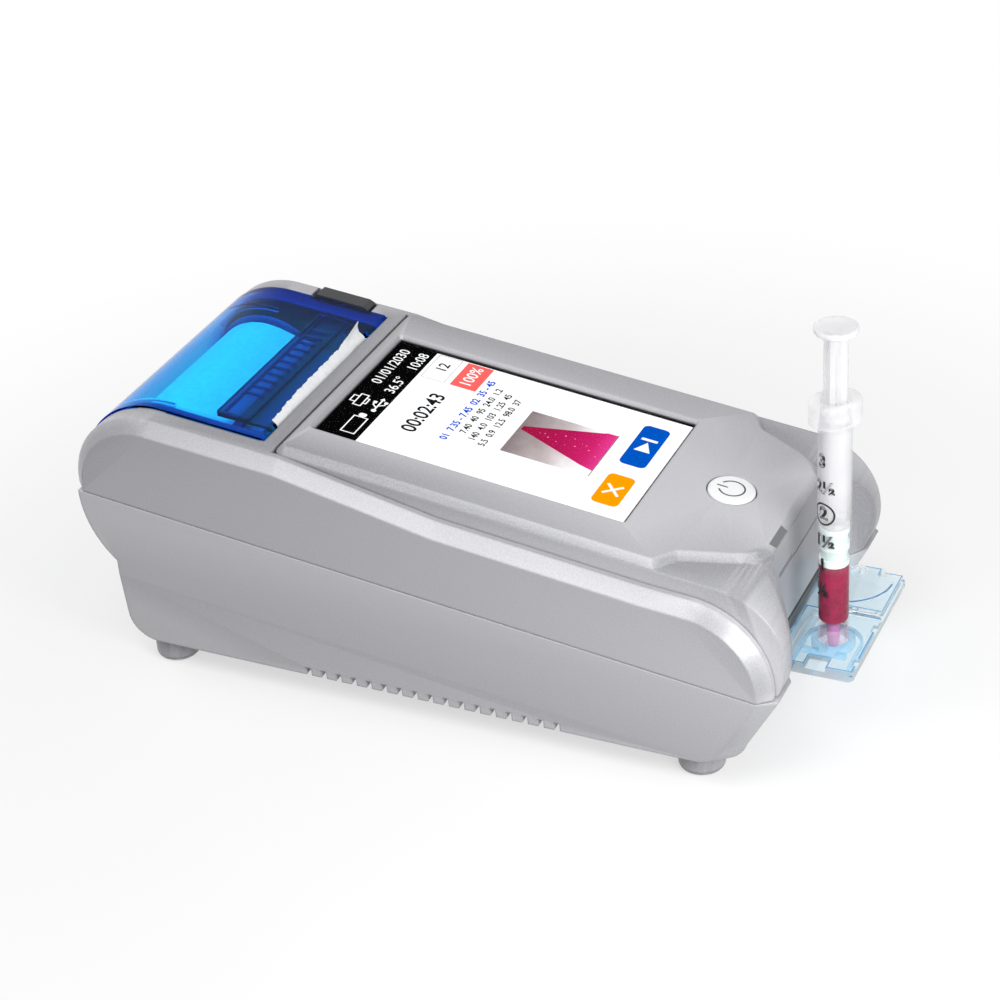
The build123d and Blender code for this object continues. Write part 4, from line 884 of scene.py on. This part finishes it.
    def keys(self, settings, level):
        """Two rounded keys along the front edge, each with a plain sign."""
        low, high = self.low, self.high
        for name, colour, edges in (
            ("start", settings.ok_colour, (1.3, 23.6, -90.6, -82.4)),
            ("stop", settings.stop_colour, (-20.6, -4.8, -90.8, -82.6)),
        ):
            key = slab("k", rounded(*edges, 1.8), on_deck, low, high)
            self.keep_flat("screen_key_" + name, [key], lit("key_" + name, list(colour), level))
        face = high + FACE
        signs = [
            slab("a", [(9.6, -89.0), (14.8, -86.5), (9.6, -84.0)], on_deck, high, face),
            slab("a", rounded(15.6, 16.8, -89.0, -84.0, 0.2), on_deck, high, face),
            stroke([(-15.0, -88.7), (-10.6, -84.6)], 0.9, on_deck, high, face),
            stroke([(-15.0, -84.6), (-10.6, -88.7)], 0.9, on_deck, high, face),
        ]
        self.keep_flat("screen_key_signs", signs, self.white)

    def paint_window_shade(self):
        """Painted shade: a dark band round the edge of the glass, where the window's walls shade it."""
        window_shade_stock = moulded("window_edge_painted_shade", (0.012, 0.012, 0.013), 0.6, 0.0)
        low, high = -1.49, -1.40
        sides = [
            slab("e", [(x0, y0), (x1, y0), (x1, y1), (x0, y1)], on_deck, low, high)
            for x0, y0, x1, y1 in (
                (28.55, -96.0, 29.0, 0.0),
                (-29.0, -0.3, 28.55, 0.0),
                (-29.0, -96.0, -28.75, -0.3),
                (-28.75, -96.0, 28.55, -95.7),
            )
        ]
        self.keep_flat("window_edge_painted_shade", sides, window_shade_stock)


class ANALYZER_OT_printer(bpy.types.Operator):
    """Finish the printer and lay its torn paper"""

    bl_idname = "analyzer.printer"
    bl_label = "Printer"

    def execute(self, context):
        settings = context.scene.analyzer_printer
        inner, depth = list(settings.door_colour), settings.door_depth
        door = clear_stock("door_blue", (0.86, 0.95, 1.0), inner, depth, 0.03, 1.16)
        skin_of(door).inputs["Specular Tint"].default_value = (0.10, 0.45, 1.0, 1.0)
        # Painted shade along the door's side walls.
        self.paint_door_side_shade(door)
        lamp_light(door, (0.52, 0.88, 1.0))
        coat(["printer_door"], door)
        guide = clear_stock("guide_blue", (0.04, 0.17, 0.45), inner, depth, 0.08)
        lamp_light(guide, (0.20, 0.45, 0.80))
        coat(["door_guide"], guide)
        coat(["release_lever"], moulded("lever_gray", (0.007, 0.008, 0.010), 0.5))
        coat(["printer_frame"], moulded("printer_body", (0.02, 0.06, 0.22), 0.5))
        coat(["print_head"], moulded("head_carrier", (0.03, 0.03, 0.032), 0.45))
        coat(["platen_roller"], moulded("platen_rubber", (0.03, 0.03, 0.03), 0.8, 0.0))
        nylon = moulded("gear_nylon", (0.78, 0.76, 0.68), 0.4, 0.0001)
        coat(["platen_gear", "idler_gear", "motor_pinion"], nylon)
        coat(["door_pin", "lever_pin", "platen_shaft", "idler_pin", "lid_pin"], steel("pin_steel"))
        coat(["printer_motor"], steel("motor_can", (0.5, 0.5, 0.52), 0.3))
        coat(["roll_core"], moulded("core_card", (0.42, 0.30, 0.18), 0.8))
        paper = paper_finish()
        coat(["paper_roll"], paper)
        self.torn_sheet(settings, paper)
        return {"FINISHED"}

    def paint_door_side_shade(self, made):
        """Painted shade: darker blue along the two side walls of the door, where the light runs edgewise through the
        plastic.
        """
        low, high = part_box("printer_door")
        clear, half_shade, edge_shade = (0.80, 0.95, 1.0), (0.12, 0.55, 0.90), (0.02, 0.34, 0.62)
        ramp = tone_ramp(made, ((0.0, edge_shade), (0.022, edge_shade), (0.05, clear), (0.80, clear), (0.90, half_shade), (0.96, edge_shade)))
        wire(made, span_along(made, "X", low[0], high[0]), ramp.inputs["Fac"])
        wire(made, ramp.outputs["Color"], skin_of(made).inputs["Base Color"])

    def torn_sheet(self, settings, paper):
        """The web from the platen up through the tear slot, curled back and torn across."""
        low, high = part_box("paper_strip")
        x0, x1 = low[0] / MM + 0.05, high[0] / MM - 0.05
        peak = settings.paper_height / MM
        columns, rows, thick = 113, 26, 0.09
        fronts, backs = [], []
        for i in range(columns):
            x = x0 + (x1 - x0) * i / (columns - 1)
            t = i / (columns - 1)
            rise = 1.0 + 1.5 * t + 0.2 * math.sin(5.0 * t) + (peak - 2.4) * max(0.0, (t - 0.78) / 0.22) ** 1.4
            for size, rate, start in ((0.09, 47, 0.0), (0.09, 103, 1.0), (0.07, 211, 0.0), (0.05, 397, 0.0)):
                rise += size * math.sin(rate * t + start)
            for j in range(rows):
                u = j / (rows - 1)
                y, z = self.web(u, rise)
                wave = 0.10 * math.sin(7 * t) * u
                fronts.append((x, y + wave - thick / 2, z))
                backs.append((x, y + wave + thick / 2, z))
        faces, shift = [], columns * rows
        for i in range(columns - 1):
            for j in range(rows - 1):
                a, b, c, d = i * rows + j, (i + 1) * rows + j, (i + 1) * rows + j + 1, i * rows + j + 1
                faces += [(a, b, c, d), (shift + d, shift + c, shift + b, shift + a)]
            top, low_edge = i * rows + rows - 1, i * rows
            faces.append((top, top + rows, shift + top + rows, shift + top))
            faces.append((low_edge, shift + low_edge, shift + low_edge + rows, low_edge + rows))
        for j in range(rows - 1):
            far = (columns - 1) * rows + j
            faces.append((j, j + 1, shift + j + 1, shift + j))
            faces.append((far, shift + far, shift + far + 1, far + 1))
        piece = keep("torn_sheet", from_faces("torn_sheet", fronts + backs, faces), paper, "case")
        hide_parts("paper_strip")

    def web(self, u, rise):
        """A point of the web's side view: y and z in millimetres, u from the roll to the torn edge."""
        line = [(ROLL_Y - ROLL_R * math.sin(WEB_LEAN), ROLL_Z + ROLL_R * math.cos(WEB_LEAN))]
        for k in range(9):
            a = WEB_LEAN - (math.pi / 2 + WEB_LEAN) * k / 8
            line.append((PLATEN_Y + WEB_R * math.sin(a), PLATEN_Z - WEB_R * math.cos(a)))
        line += [(53.2, 76.6), (53.55, 78.4), (54.0, 80.2), (54.4, 81.6), (54.75, 82.6)]
        curl = ((0.9, 0.75), (1.9, 1.55), (2.35, 2.3), (2.0, 3.5), (1.55, 5.2))
        left, (ay, az) = rise, line[-1]
        for (dy, dz), (ey, ez) in zip(((0.0, 0.0),) + curl, curl):
            share = min(1.0, left / (ez - dz))
            line.append((ay + dy + (ey - dy) * share, az + dz + (ez - dz) * share))
            left -= ez - dz
            if left <= 0.0:
                break
        spans = [math.dist(a, b) for a, b in zip(line, line[1:])]
        goal, k = u * sum(spans), 0
        while k < len(spans) - 1 and goal > spans[k]:
            goal -= spans[k]
            k += 1
        share = min(1.0, goal / spans[k])
        (ay, az), (by, bz) = line[k], line[k + 1]
        return ay + (by - ay) * share, az + (bz - az) * share


class ANALYZER_OT_card(bpy.types.Operator):
    """Finish the sensor card and its lid, and add painted shade of their tint along their edges, and painted highlights
    on the card
    """

    bl_idname = "analyzer.card"
    bl_label = "Sensor card"

    def execute(self, context):
        settings = context.scene.analyzer_sample
        tone = list(settings.card_colour)
        for name, node, surface, depth in (
            ("card_clear", "sensor_card", (0.95, 0.985, 1.0), 65.0),
            ("lid_clear", "card_lid", (0.985, 0.99, 1.0), 22.0),
        ):
            clear = clear_stock(name, surface, tone, depth, 0.03, 1.16)
            see_through(clear, 0.62)
            lamp_light(clear, [0.75 + 0.25 * c for c in surface])
            coat([node], clear)
        coat(["port_collar"], self.film("collar_blue", [0.22, 0.60, 0.88], 0.34))
        coat(["card_contacts"], steel("contact_gold", (0.80, 0.55, 0.20), 0.25))
        coat(["card_guide"], moulded("guide_black", (0.02, 0.02, 0.022), 0.45))
        # Painted shade: darker blue lines along the card's edges, where light runs a longer way through the plastic.
        edge = self.film("card_edge_painted_shade", [0.06, 0.36, 0.72], 0.85)
        card_edge_shade = self.bands(BLOCK_TOP, EDGE_LINE, (
            (-24.5, -115.72, -21.3, -115.2), (-17.7, -115.72, -3.8, -115.2), (-24.5, -94.0, 3.4, -93.6),
            (2.9, -115.6, 3.38, -93.7), (-24.5, -101.9, -19.9, -101.5), (-24.5, -108.4, -19.9, -108.1),
            (-19.8, -108.1, -19.4, -101.9), (-24.45, -101.5, -24.05, -94.0), (-24.45, -115.2, -24.05, -108.4),
        ))
        keep("card_edge_shade_lines", joined("card_edge_shade_lines", card_edge_shade), edge, "sensor_card", smooth=False)
        # Painted shade: darker blue lines along the lid's edges and its curved side.
        lid_edge_shade = self.film("lid_edge_painted_shade", [0.16, 0.52, 0.85], 0.7)
        lid_shade_lines = [stroke(circle(21.5, -99.8, 13.7, 182, 268, 24), 0.55, flat, 30.62, 30.86)]
        lid_shade_lines += self.bands(LID_TOP, 0.04, (
            (6.35, -115.15, 26.3, -114.75), (25.95, -114.7, 26.35, -109.9), (27.5, -108.4, 27.95, -103.8),
            (24.5, -108.5, 27.5, -108.1), (6.35, -114.7, 6.8, -98.0),
        ))
        keep("lid_edge_shade_lines", joined("lid_edge_shade_lines", lid_shade_lines), lid_edge_shade, "card_lid", smooth=False)
        # Painted highlights: pale lines along the card's moulded steps.
        painted_shine = self.film("painted_glint", [0.97, 0.99, 1.0], 0.85)
        painted_glints = self.bands(BLOCK_TOP, EDGE_LINE, (
            (-23.6, -114.6, -21.4, -114.3), (-16.8, -114.7, -5.0, -114.4), (1.6, -112.0, 1.95, -97.0),
            (-22.0, -96.0, -2.0, -95.75), (-23.2, -100.8, -20.6, -100.5), (-23.2, -109.5, -20.6, -109.2),
        ))
        keep("card_painted_glints", joined("card_painted_glints", painted_glints), painted_shine, "sensor_card", smooth=False)
        return {"FINISHED"}

    def bands(self, low, thick, edges):
        """Narrow lines on a level of the card, each from its left, front, right and rear edge; they carry painted shade
        and painted highlights.
        """
        return [slab("r", [(x0, y0), (x1, y0), (x1, y1), (x0, y1)], flat, low, low + thick) for x0, y0, x1, y1 in edges]

    def film(self, name, colour, opacity):
        """Clear tinted plastic: part of the light passes, the rest shows its colour."""
        made = finish(name, colour, 0.12, coat=0.3, ior=1.49)
        grain(made, 90.0, [c * 0.96 for c in colour], [min(1.0, c * 1.03) for c in colour])
        sheen_patches(made, 60.0, 0.08, 0.20)
        relief(made, 260.0, 0.00001, 0.0003)
        see_through(made, opacity)
        return made


class ANALYZER_OT_syringe(bpy.types.Operator):
    """Finish the syringe, fill it with its sample and print its scale"""

    bl_idname = "analyzer.syringe"
    bl_label = "Syringe"

    def execute(self, context):
        settings = context.scene.analyzer_sample
        barrel = finish("barrel_clear", (0.93, 0.93, 0.955), 0.14, coat=0.1, ior=1.40)
        grain(barrel, 60.0, (0.91, 0.91, 0.94), (0.95, 0.95, 0.97))
        sheen_patches(barrel, 70.0, 0.10, 0.20)
        relief(barrel, 300.0, 0.000008, 0.0003)
        see_through_by_height(barrel, ((56.0, 0.015), (72.0, 0.20), (84.0, 0.40), (100.0, 0.40), (102.6, 0.26)))
        coat(["syringe_barrel"], barrel)
        milky = finish("plunger_milky", (0.90, 0.90, 0.92), 0.30, coat=0.2)
        grain(milky, 80.0, (0.88, 0.88, 0.90), (0.93, 0.93, 0.945))
        sheen_patches(milky, 90.0, 0.22, 0.36)
        relief(milky, 400.0, 0.00001, 0.0003)
        see_through(milky, 0.50)
        coat(["plunger_rod"], milky)
        coat(["piston"], moulded("piston_mint", (0.74, 0.92, 0.88), 0.4, 0.0002))
        self.luer(settings)
        self.sample(settings)
        self.scale()
        return {"FINISHED"}

    def luer(self, settings):
        """Skirt of the tip, with the thread winding round it."""
        lilac = finish("luer_lilac", (0.86, 0.72, 0.86), 0.22, coat=0.3, ior=1.46)
        grain(lilac, 140.0, (0.82, 0.66, 0.82), (0.92, 0.80, 0.92))
        sheen_patches(lilac, 90.0, 0.18, 0.32)
        relief(lilac, 300.0, 0.00001, 0.0001)
        see_through(lilac, 0.16)
        top = BLOOD_Z0 - 1.1
        profile = [(1.9, LUER_Z0), (3.4, LUER_Z0), (3.6, 33.2), (3.7, 36.8), (4.55, top), (1.9, top), (1.9, LUER_Z0)]
        skirt = lathe("skirt", profile, (PORT.x, PORT.y))
        sections, steps = [], 36
        last = settings.thread_turns * steps
        thread_start, thread_height = 31.9, 5.0
        for k in range(last + 1):
            a = 2 * math.pi * k / steps
            z = thread_start + thread_height * k / last
            sections.append([
                (PORT.x + r * math.cos(a), PORT.y + r * math.sin(a), z + dz)
                for r, dz in ((3.4, -0.42), (4.4, -0.12), (4.4, 0.12), (3.4, 0.42))
            ])
        thread = ribbon("thread", sections)
        piece = keep("luer_thread", joined("luer_thread", [skirt, thread]), lilac, "syringe")
        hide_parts("luer_collar")

    def sample(self, settings):
        """The drawn sample under the piston, and the thread of it that stands in the tip."""
        tone = list(settings.blood_colour)
        blood = finish("sample_red", tone, 0.16, ior=1.20)
        grain(blood, 220.0, [c * 0.75 for c in tone], [min(1.0, c * 1.35) for c in tone])
        sheen_patches(blood, 60.0, 0.10, 0.22)
        relief(blood, 500.0, 0.000006)
        bore, axis_r = 4.2, 0.001
        rings = [(axis_r, BLOOD_Z0), (3.6, BLOOD_Z0), (4.05, BLOOD_Z0 + 0.25), (bore, BLOOD_Z0 + 0.8), (bore, 47.0)]
        rings += [(bore, BLOOD_Z1 - 0.5), (bore, BLOOD_Z1), (3.7, BLOOD_Z1 - 0.35), (2.4, BLOOD_Z1 - 0.6)]
        rings.append((axis_r, BLOOD_Z1 - 0.7))
        drawn = keep("drawn_sample", lathe("drawn_sample", rings, (PORT.x, PORT.y)), blood, "syringe")
        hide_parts("blood_sample")
        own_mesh(drawn)
        top = BLOOD_Z0 - 0.1
        profile = [(axis_r, 30.4), (1.5, 30.4), (1.75, 34.0), (1.85, 38.4), (3.2, top), (axis_r, top)]
        column = lathe("tip", profile, (PORT.x, PORT.y), 24)
        thin = glossy("sample_magenta", (0.56, 0.04, 0.44), 0.2, 0.0)
        keep("tip_sample", column, thin, "syringe")

    def scale(self):
        """Numbers of the barrel's scale, one of them ringed."""
        ink = printed("scale_ink", (0.012, 0.012, 0.012))

        def wrap(x, y, z):
            """A place on the barrel, x round it and y up it."""
            a = SCALE_FACING + x / BARREL_R
            r = BARREL_R + 0.01 + z
            return Vector((PORT.x + r * math.cos(a), PORT.y + r * math.sin(a), y))

        marks = [
            digits("m", sign, size, wrap, x, z, 0.0, PRINT, 0.04)
            for sign, size, x, z in (
                ("3", 5.4, -4.5, 91.6), ("2½", 5.0, -3.6, 83.6), ("2", 5.4, -3.9, 75.4),
                ("1½", 5.0, -3.6, 66.6), ("1", 5.4, -4.2, 58.8), ("½", 5.4, -4.2, 50.6),
            )
        ]
        marks.append(stroke(circle(-3.9, 75.4, 3.2, steps=40), 0.52, wrap, 0.0, PRINT))
        keep("syringe_scale", joined("syringe_scale", marks), ink, "syringe", smooth=False)


class ANALYZER_OT_inside(bpy.types.Operator):
    """Finish the boards, battery, sockets, heater and cables"""

    bl_idname = "analyzer.inside"
    bl_label = "Inside"

    def execute(self, context):
        coat(["main_board", "button_board", "sensor_board", "io_board"], board_finish())
        coat(["board_chips"], moulded("chip_black", (0.02, 0.02, 0.022), 0.35))
        coat(["board_sockets", "battery_plug"], moulded("socket_cream", (0.70, 0.66, 0.55), 0.45))
        coat(["ribbon_cables"], moulded("ribbon_white", (0.72, 0.72, 0.70), 0.5))
        coat(["shield_can", "usb_shells"], steel("tin_plate", (0.62, 0.62, 0.62), 0.25))
        coat(["battery_pack"], glossy("battery_wrap", (0.02, 0.06, 0.30), 0.2))
        coat(["heater_block"], steel("milled_alloy", (0.68, 0.69, 0.70), 0.35))
        coat(["speaker", "contact_block", "dc_jack", "usb_tongues", "io_panel", "button_switch"],
             moulded("black_plastic", (0.022, 0.022, 0.024), 0.5))
        return {"FINISHED"}


def seen_directly(tree):
    """A share of 1 for what the eye, metal and glass see, and 0 for light on the object."""
    path = tree.nodes.new("ShaderNodeLightPath")
    share = path.outputs["Is Camera Ray"]
    for ray in ("Is Glossy Ray", "Is Transmission Ray"):
        either = tree.nodes.new("ShaderNodeMath")
        either.operation = "MAXIMUM"
        tree.links.new(share, either.inputs[0])
        tree.links.new(path.outputs[ray], either.inputs[1])
        share = either.outputs[0]
    return share


class ANALYZER_OT_stage(bpy.types.Operator):
    """Set the floor, the soft studio light and the camera"""

    bl_idname = "analyzer.stage"
    bl_label = "Stage"

    def execute(self, context):
        settings = context.scene.analyzer_stage
        scene = context.scene
        scene.view_settings.view_transform = "Standard"
        self.surroundings(scene, settings)
        self.floor(scene)
        for name, place_at, size, power in (
            ("key", Vector((-0.62, 0.12, 1.20)), 0.8, settings.key_power),
            ("front", Vector((-0.19, -0.29, 0.16)), 0.16, settings.front_power),
            ("rear", Vector((0.30, 1.00, 0.50)), 0.6, settings.rear_power),
        ):
            lamp = bpy.data.lights.new(name, "AREA")
            lamp.shape = "DISK"
            lamp.size = size
            lamp.energy = power
            holder = bpy.data.objects.new(name, lamp)
            holder.location = place_at
            aim = Vector((0.0, 0.0, 0.05)) - place_at
            holder.rotation_euler = aim.to_track_quat("-Z", "Y").to_euler()
            scene.collection.objects.link(holder)
        self.camera(scene, settings)
        return {"FINISHED"}

    def surroundings(self, scene, settings):
        """White all round for the eye, glass and metal, and softer for the light on the object."""
        world = bpy.data.worlds.new("studio")
        scene.world = world
        world.use_nodes = True
        back = world.node_tree.nodes["Background"]
        level = part(world, "ShaderNodeMapRange")
        level.inputs["To Min"].default_value = settings.ambient
        level.inputs["To Max"].default_value = 1.0
        wire(world, seen_directly(world.node_tree), level.inputs["Value"])
        wire(world, level.outputs["Result"], back.inputs["Strength"])
        back.inputs["Color"].default_value = (1.0, 1.0, 1.0, 1.0)

    def floor(self, scene):
        """A pale floor that runs out into the white background and keeps the shadow."""
        ground = bpy.data.materials.new("pale_floor")
        ground.use_nodes = True
        skin = skin_of(ground)
        skin.inputs["Roughness"].default_value = 0.9
        skin.inputs["Specular IOR Level"].default_value = 0.0
        pale = part(ground, "ShaderNodeMapRange")
        pale.inputs["To Min"].default_value = 0.32
        pale.inputs["To Max"].default_value = 0.92
        glow = part(ground, "ShaderNodeEmission", Color=(1.0, 1.0, 1.0, 1.0))
        reach = part(ground, "ShaderNodeVectorMath", operation="LENGTH")
        fade = part(ground, "ShaderNodeMapRange", interpolation_type="SMOOTHSTEP")
        fade.inputs["From Min"].default_value = SHADOW_REACH
        fade.inputs["From Max"].default_value = WHITE_REACH
        fade.inputs["To Min"].default_value = 0.60
        shown = part(ground, "ShaderNodeMath", operation="MULTIPLY")
        mix = part(ground, "ShaderNodeMixShader")
        seen = seen_directly(ground.node_tree)
        wire(ground, place_of(ground), reach.inputs[0])
        wire(ground, reach.outputs["Value"], fade.inputs["Value"])
        wire(ground, fade.outputs["Result"], shown.inputs[0])
        wire(ground, seen, shown.inputs[1])
        wire(ground, seen, pale.inputs["Value"])
        wire(ground, pale.outputs["Result"], skin.inputs["Base Color"])
        wire(ground, shown.outputs[0], mix.inputs[0])
        wire(ground, skin.outputs[0], mix.inputs[1])
        wire(ground, glow.outputs[0], mix.inputs[2])
        wire(ground, mix.outputs[0], ground.node_tree.nodes["Material Output"].inputs["Surface"])
        mesh = bpy.data.meshes.new("floor")
        side = 6.0
        mesh.from_pydata([(-side, -side, 0), (side, -side, 0), (side, side, 0), (-side, side, 0)], [], [(0, 1, 2, 3)])
        mesh.materials.append(ground)
        floor = bpy.data.objects.new("floor", mesh)
        scene.collection.objects.link(floor)

    def camera(self, scene, settings):
        """The camera at the photograph's place and angle."""
        a, e, r = CAMERA_TURN, CAMERA_DIP, CAMERA_ROLL
        back_way = Vector((math.sin(a) * math.cos(e), -math.cos(a) * math.cos(e), math.sin(e)))
        right = Vector((math.cos(a), math.sin(a), 0.0))
        up = back_way.cross(right)
        rolled_right = right * math.cos(r) + up * math.sin(r)
        rolled_up = up * math.cos(r) - right * math.sin(r)
        lens = bpy.data.cameras.new("photo_camera")
        lens.sensor_width = 36.0
        lens.sensor_fit = "HORIZONTAL"
        lens.lens = settings.lens
        lens.clip_start = 0.01
        camera = bpy.data.objects.new("photo_camera", lens)
        turn = Matrix((rolled_right, rolled_up, back_way)).transposed()
        camera.matrix_world = Matrix.Translation(CAMERA_PLACE * MM) @ turn.to_4x4()
        scene.collection.objects.link(camera)
        scene.camera = camera


class ANALYZER_PT_panel(bpy.types.Panel):
    """Sizes, colours and making steps of the analyzer"""

    bl_label = "Blood Gas Analyzer"
    bl_idname = "ANALYZER_PT_panel"
    bl_space_type = "VIEW_3D"
    bl_region_type = "UI"
    bl_category = "Analyzer"

    def draw(self, context):
        layout = self.layout
        for group, operators in STEPS:
            settings = getattr(context.scene, group)
            box = layout.box()
            for name in settings.bl_rna.properties.keys():
                if name not in {"rna_type", "name"}:
                    box.prop(settings, name)
            for operator in operators:
                box.operator(operator.bl_idname)


GROUPS = (
    ("analyzer_case", AnalyzerCaseSettings),
    ("analyzer_screen", AnalyzerScreenSettings),
    ("analyzer_printer", AnalyzerPrinterSettings),
    ("analyzer_sample", AnalyzerSampleSettings),
    ("analyzer_stage", AnalyzerStageSettings),
)
STEPS = (
    ("analyzer_case", (ANALYZER_OT_case, ANALYZER_OT_button, ANALYZER_OT_inside)),
    ("analyzer_screen", (ANALYZER_OT_screen,)),
    ("analyzer_printer", (ANALYZER_OT_printer,)),
    ("analyzer_sample", (ANALYZER_OT_card, ANALYZER_OT_syringe)),
    ("analyzer_stage", (ANALYZER_OT_stage,)),
)
OPERATORS = [operator for _, operators in STEPS for operator in operators]


def register():
    for _, settings in GROUPS:
        bpy.utils.register_class(settings)
    for operator in OPERATORS:
        bpy.utils.register_class(operator)
    bpy.utils.register_class(ANALYZER_PT_panel)
    for name, settings in GROUPS:
        setattr(bpy.types.Scene, name, PointerProperty(type=settings))


def unregister():
    for name, _ in GROUPS:
        delattr(bpy.types.Scene, name)
    bpy.utils.unregister_class(ANALYZER_PT_panel)
    for operator in reversed(OPERATORS):
        bpy.utils.unregister_class(operator)
    for _, settings in reversed(GROUPS):
        bpy.utils.unregister_class(settings)


def main():
    register()
    bpy.ops.analyzer.stage()
    bpy.ops.analyzer.case()
    bpy.ops.analyzer.button()
    bpy.ops.analyzer.inside()
    bpy.ops.analyzer.screen()
    bpy.ops.analyzer.printer()
    bpy.ops.analyzer.card()
    bpy.ops.analyzer.syringe()


if __name__ == "__main__":
    main()
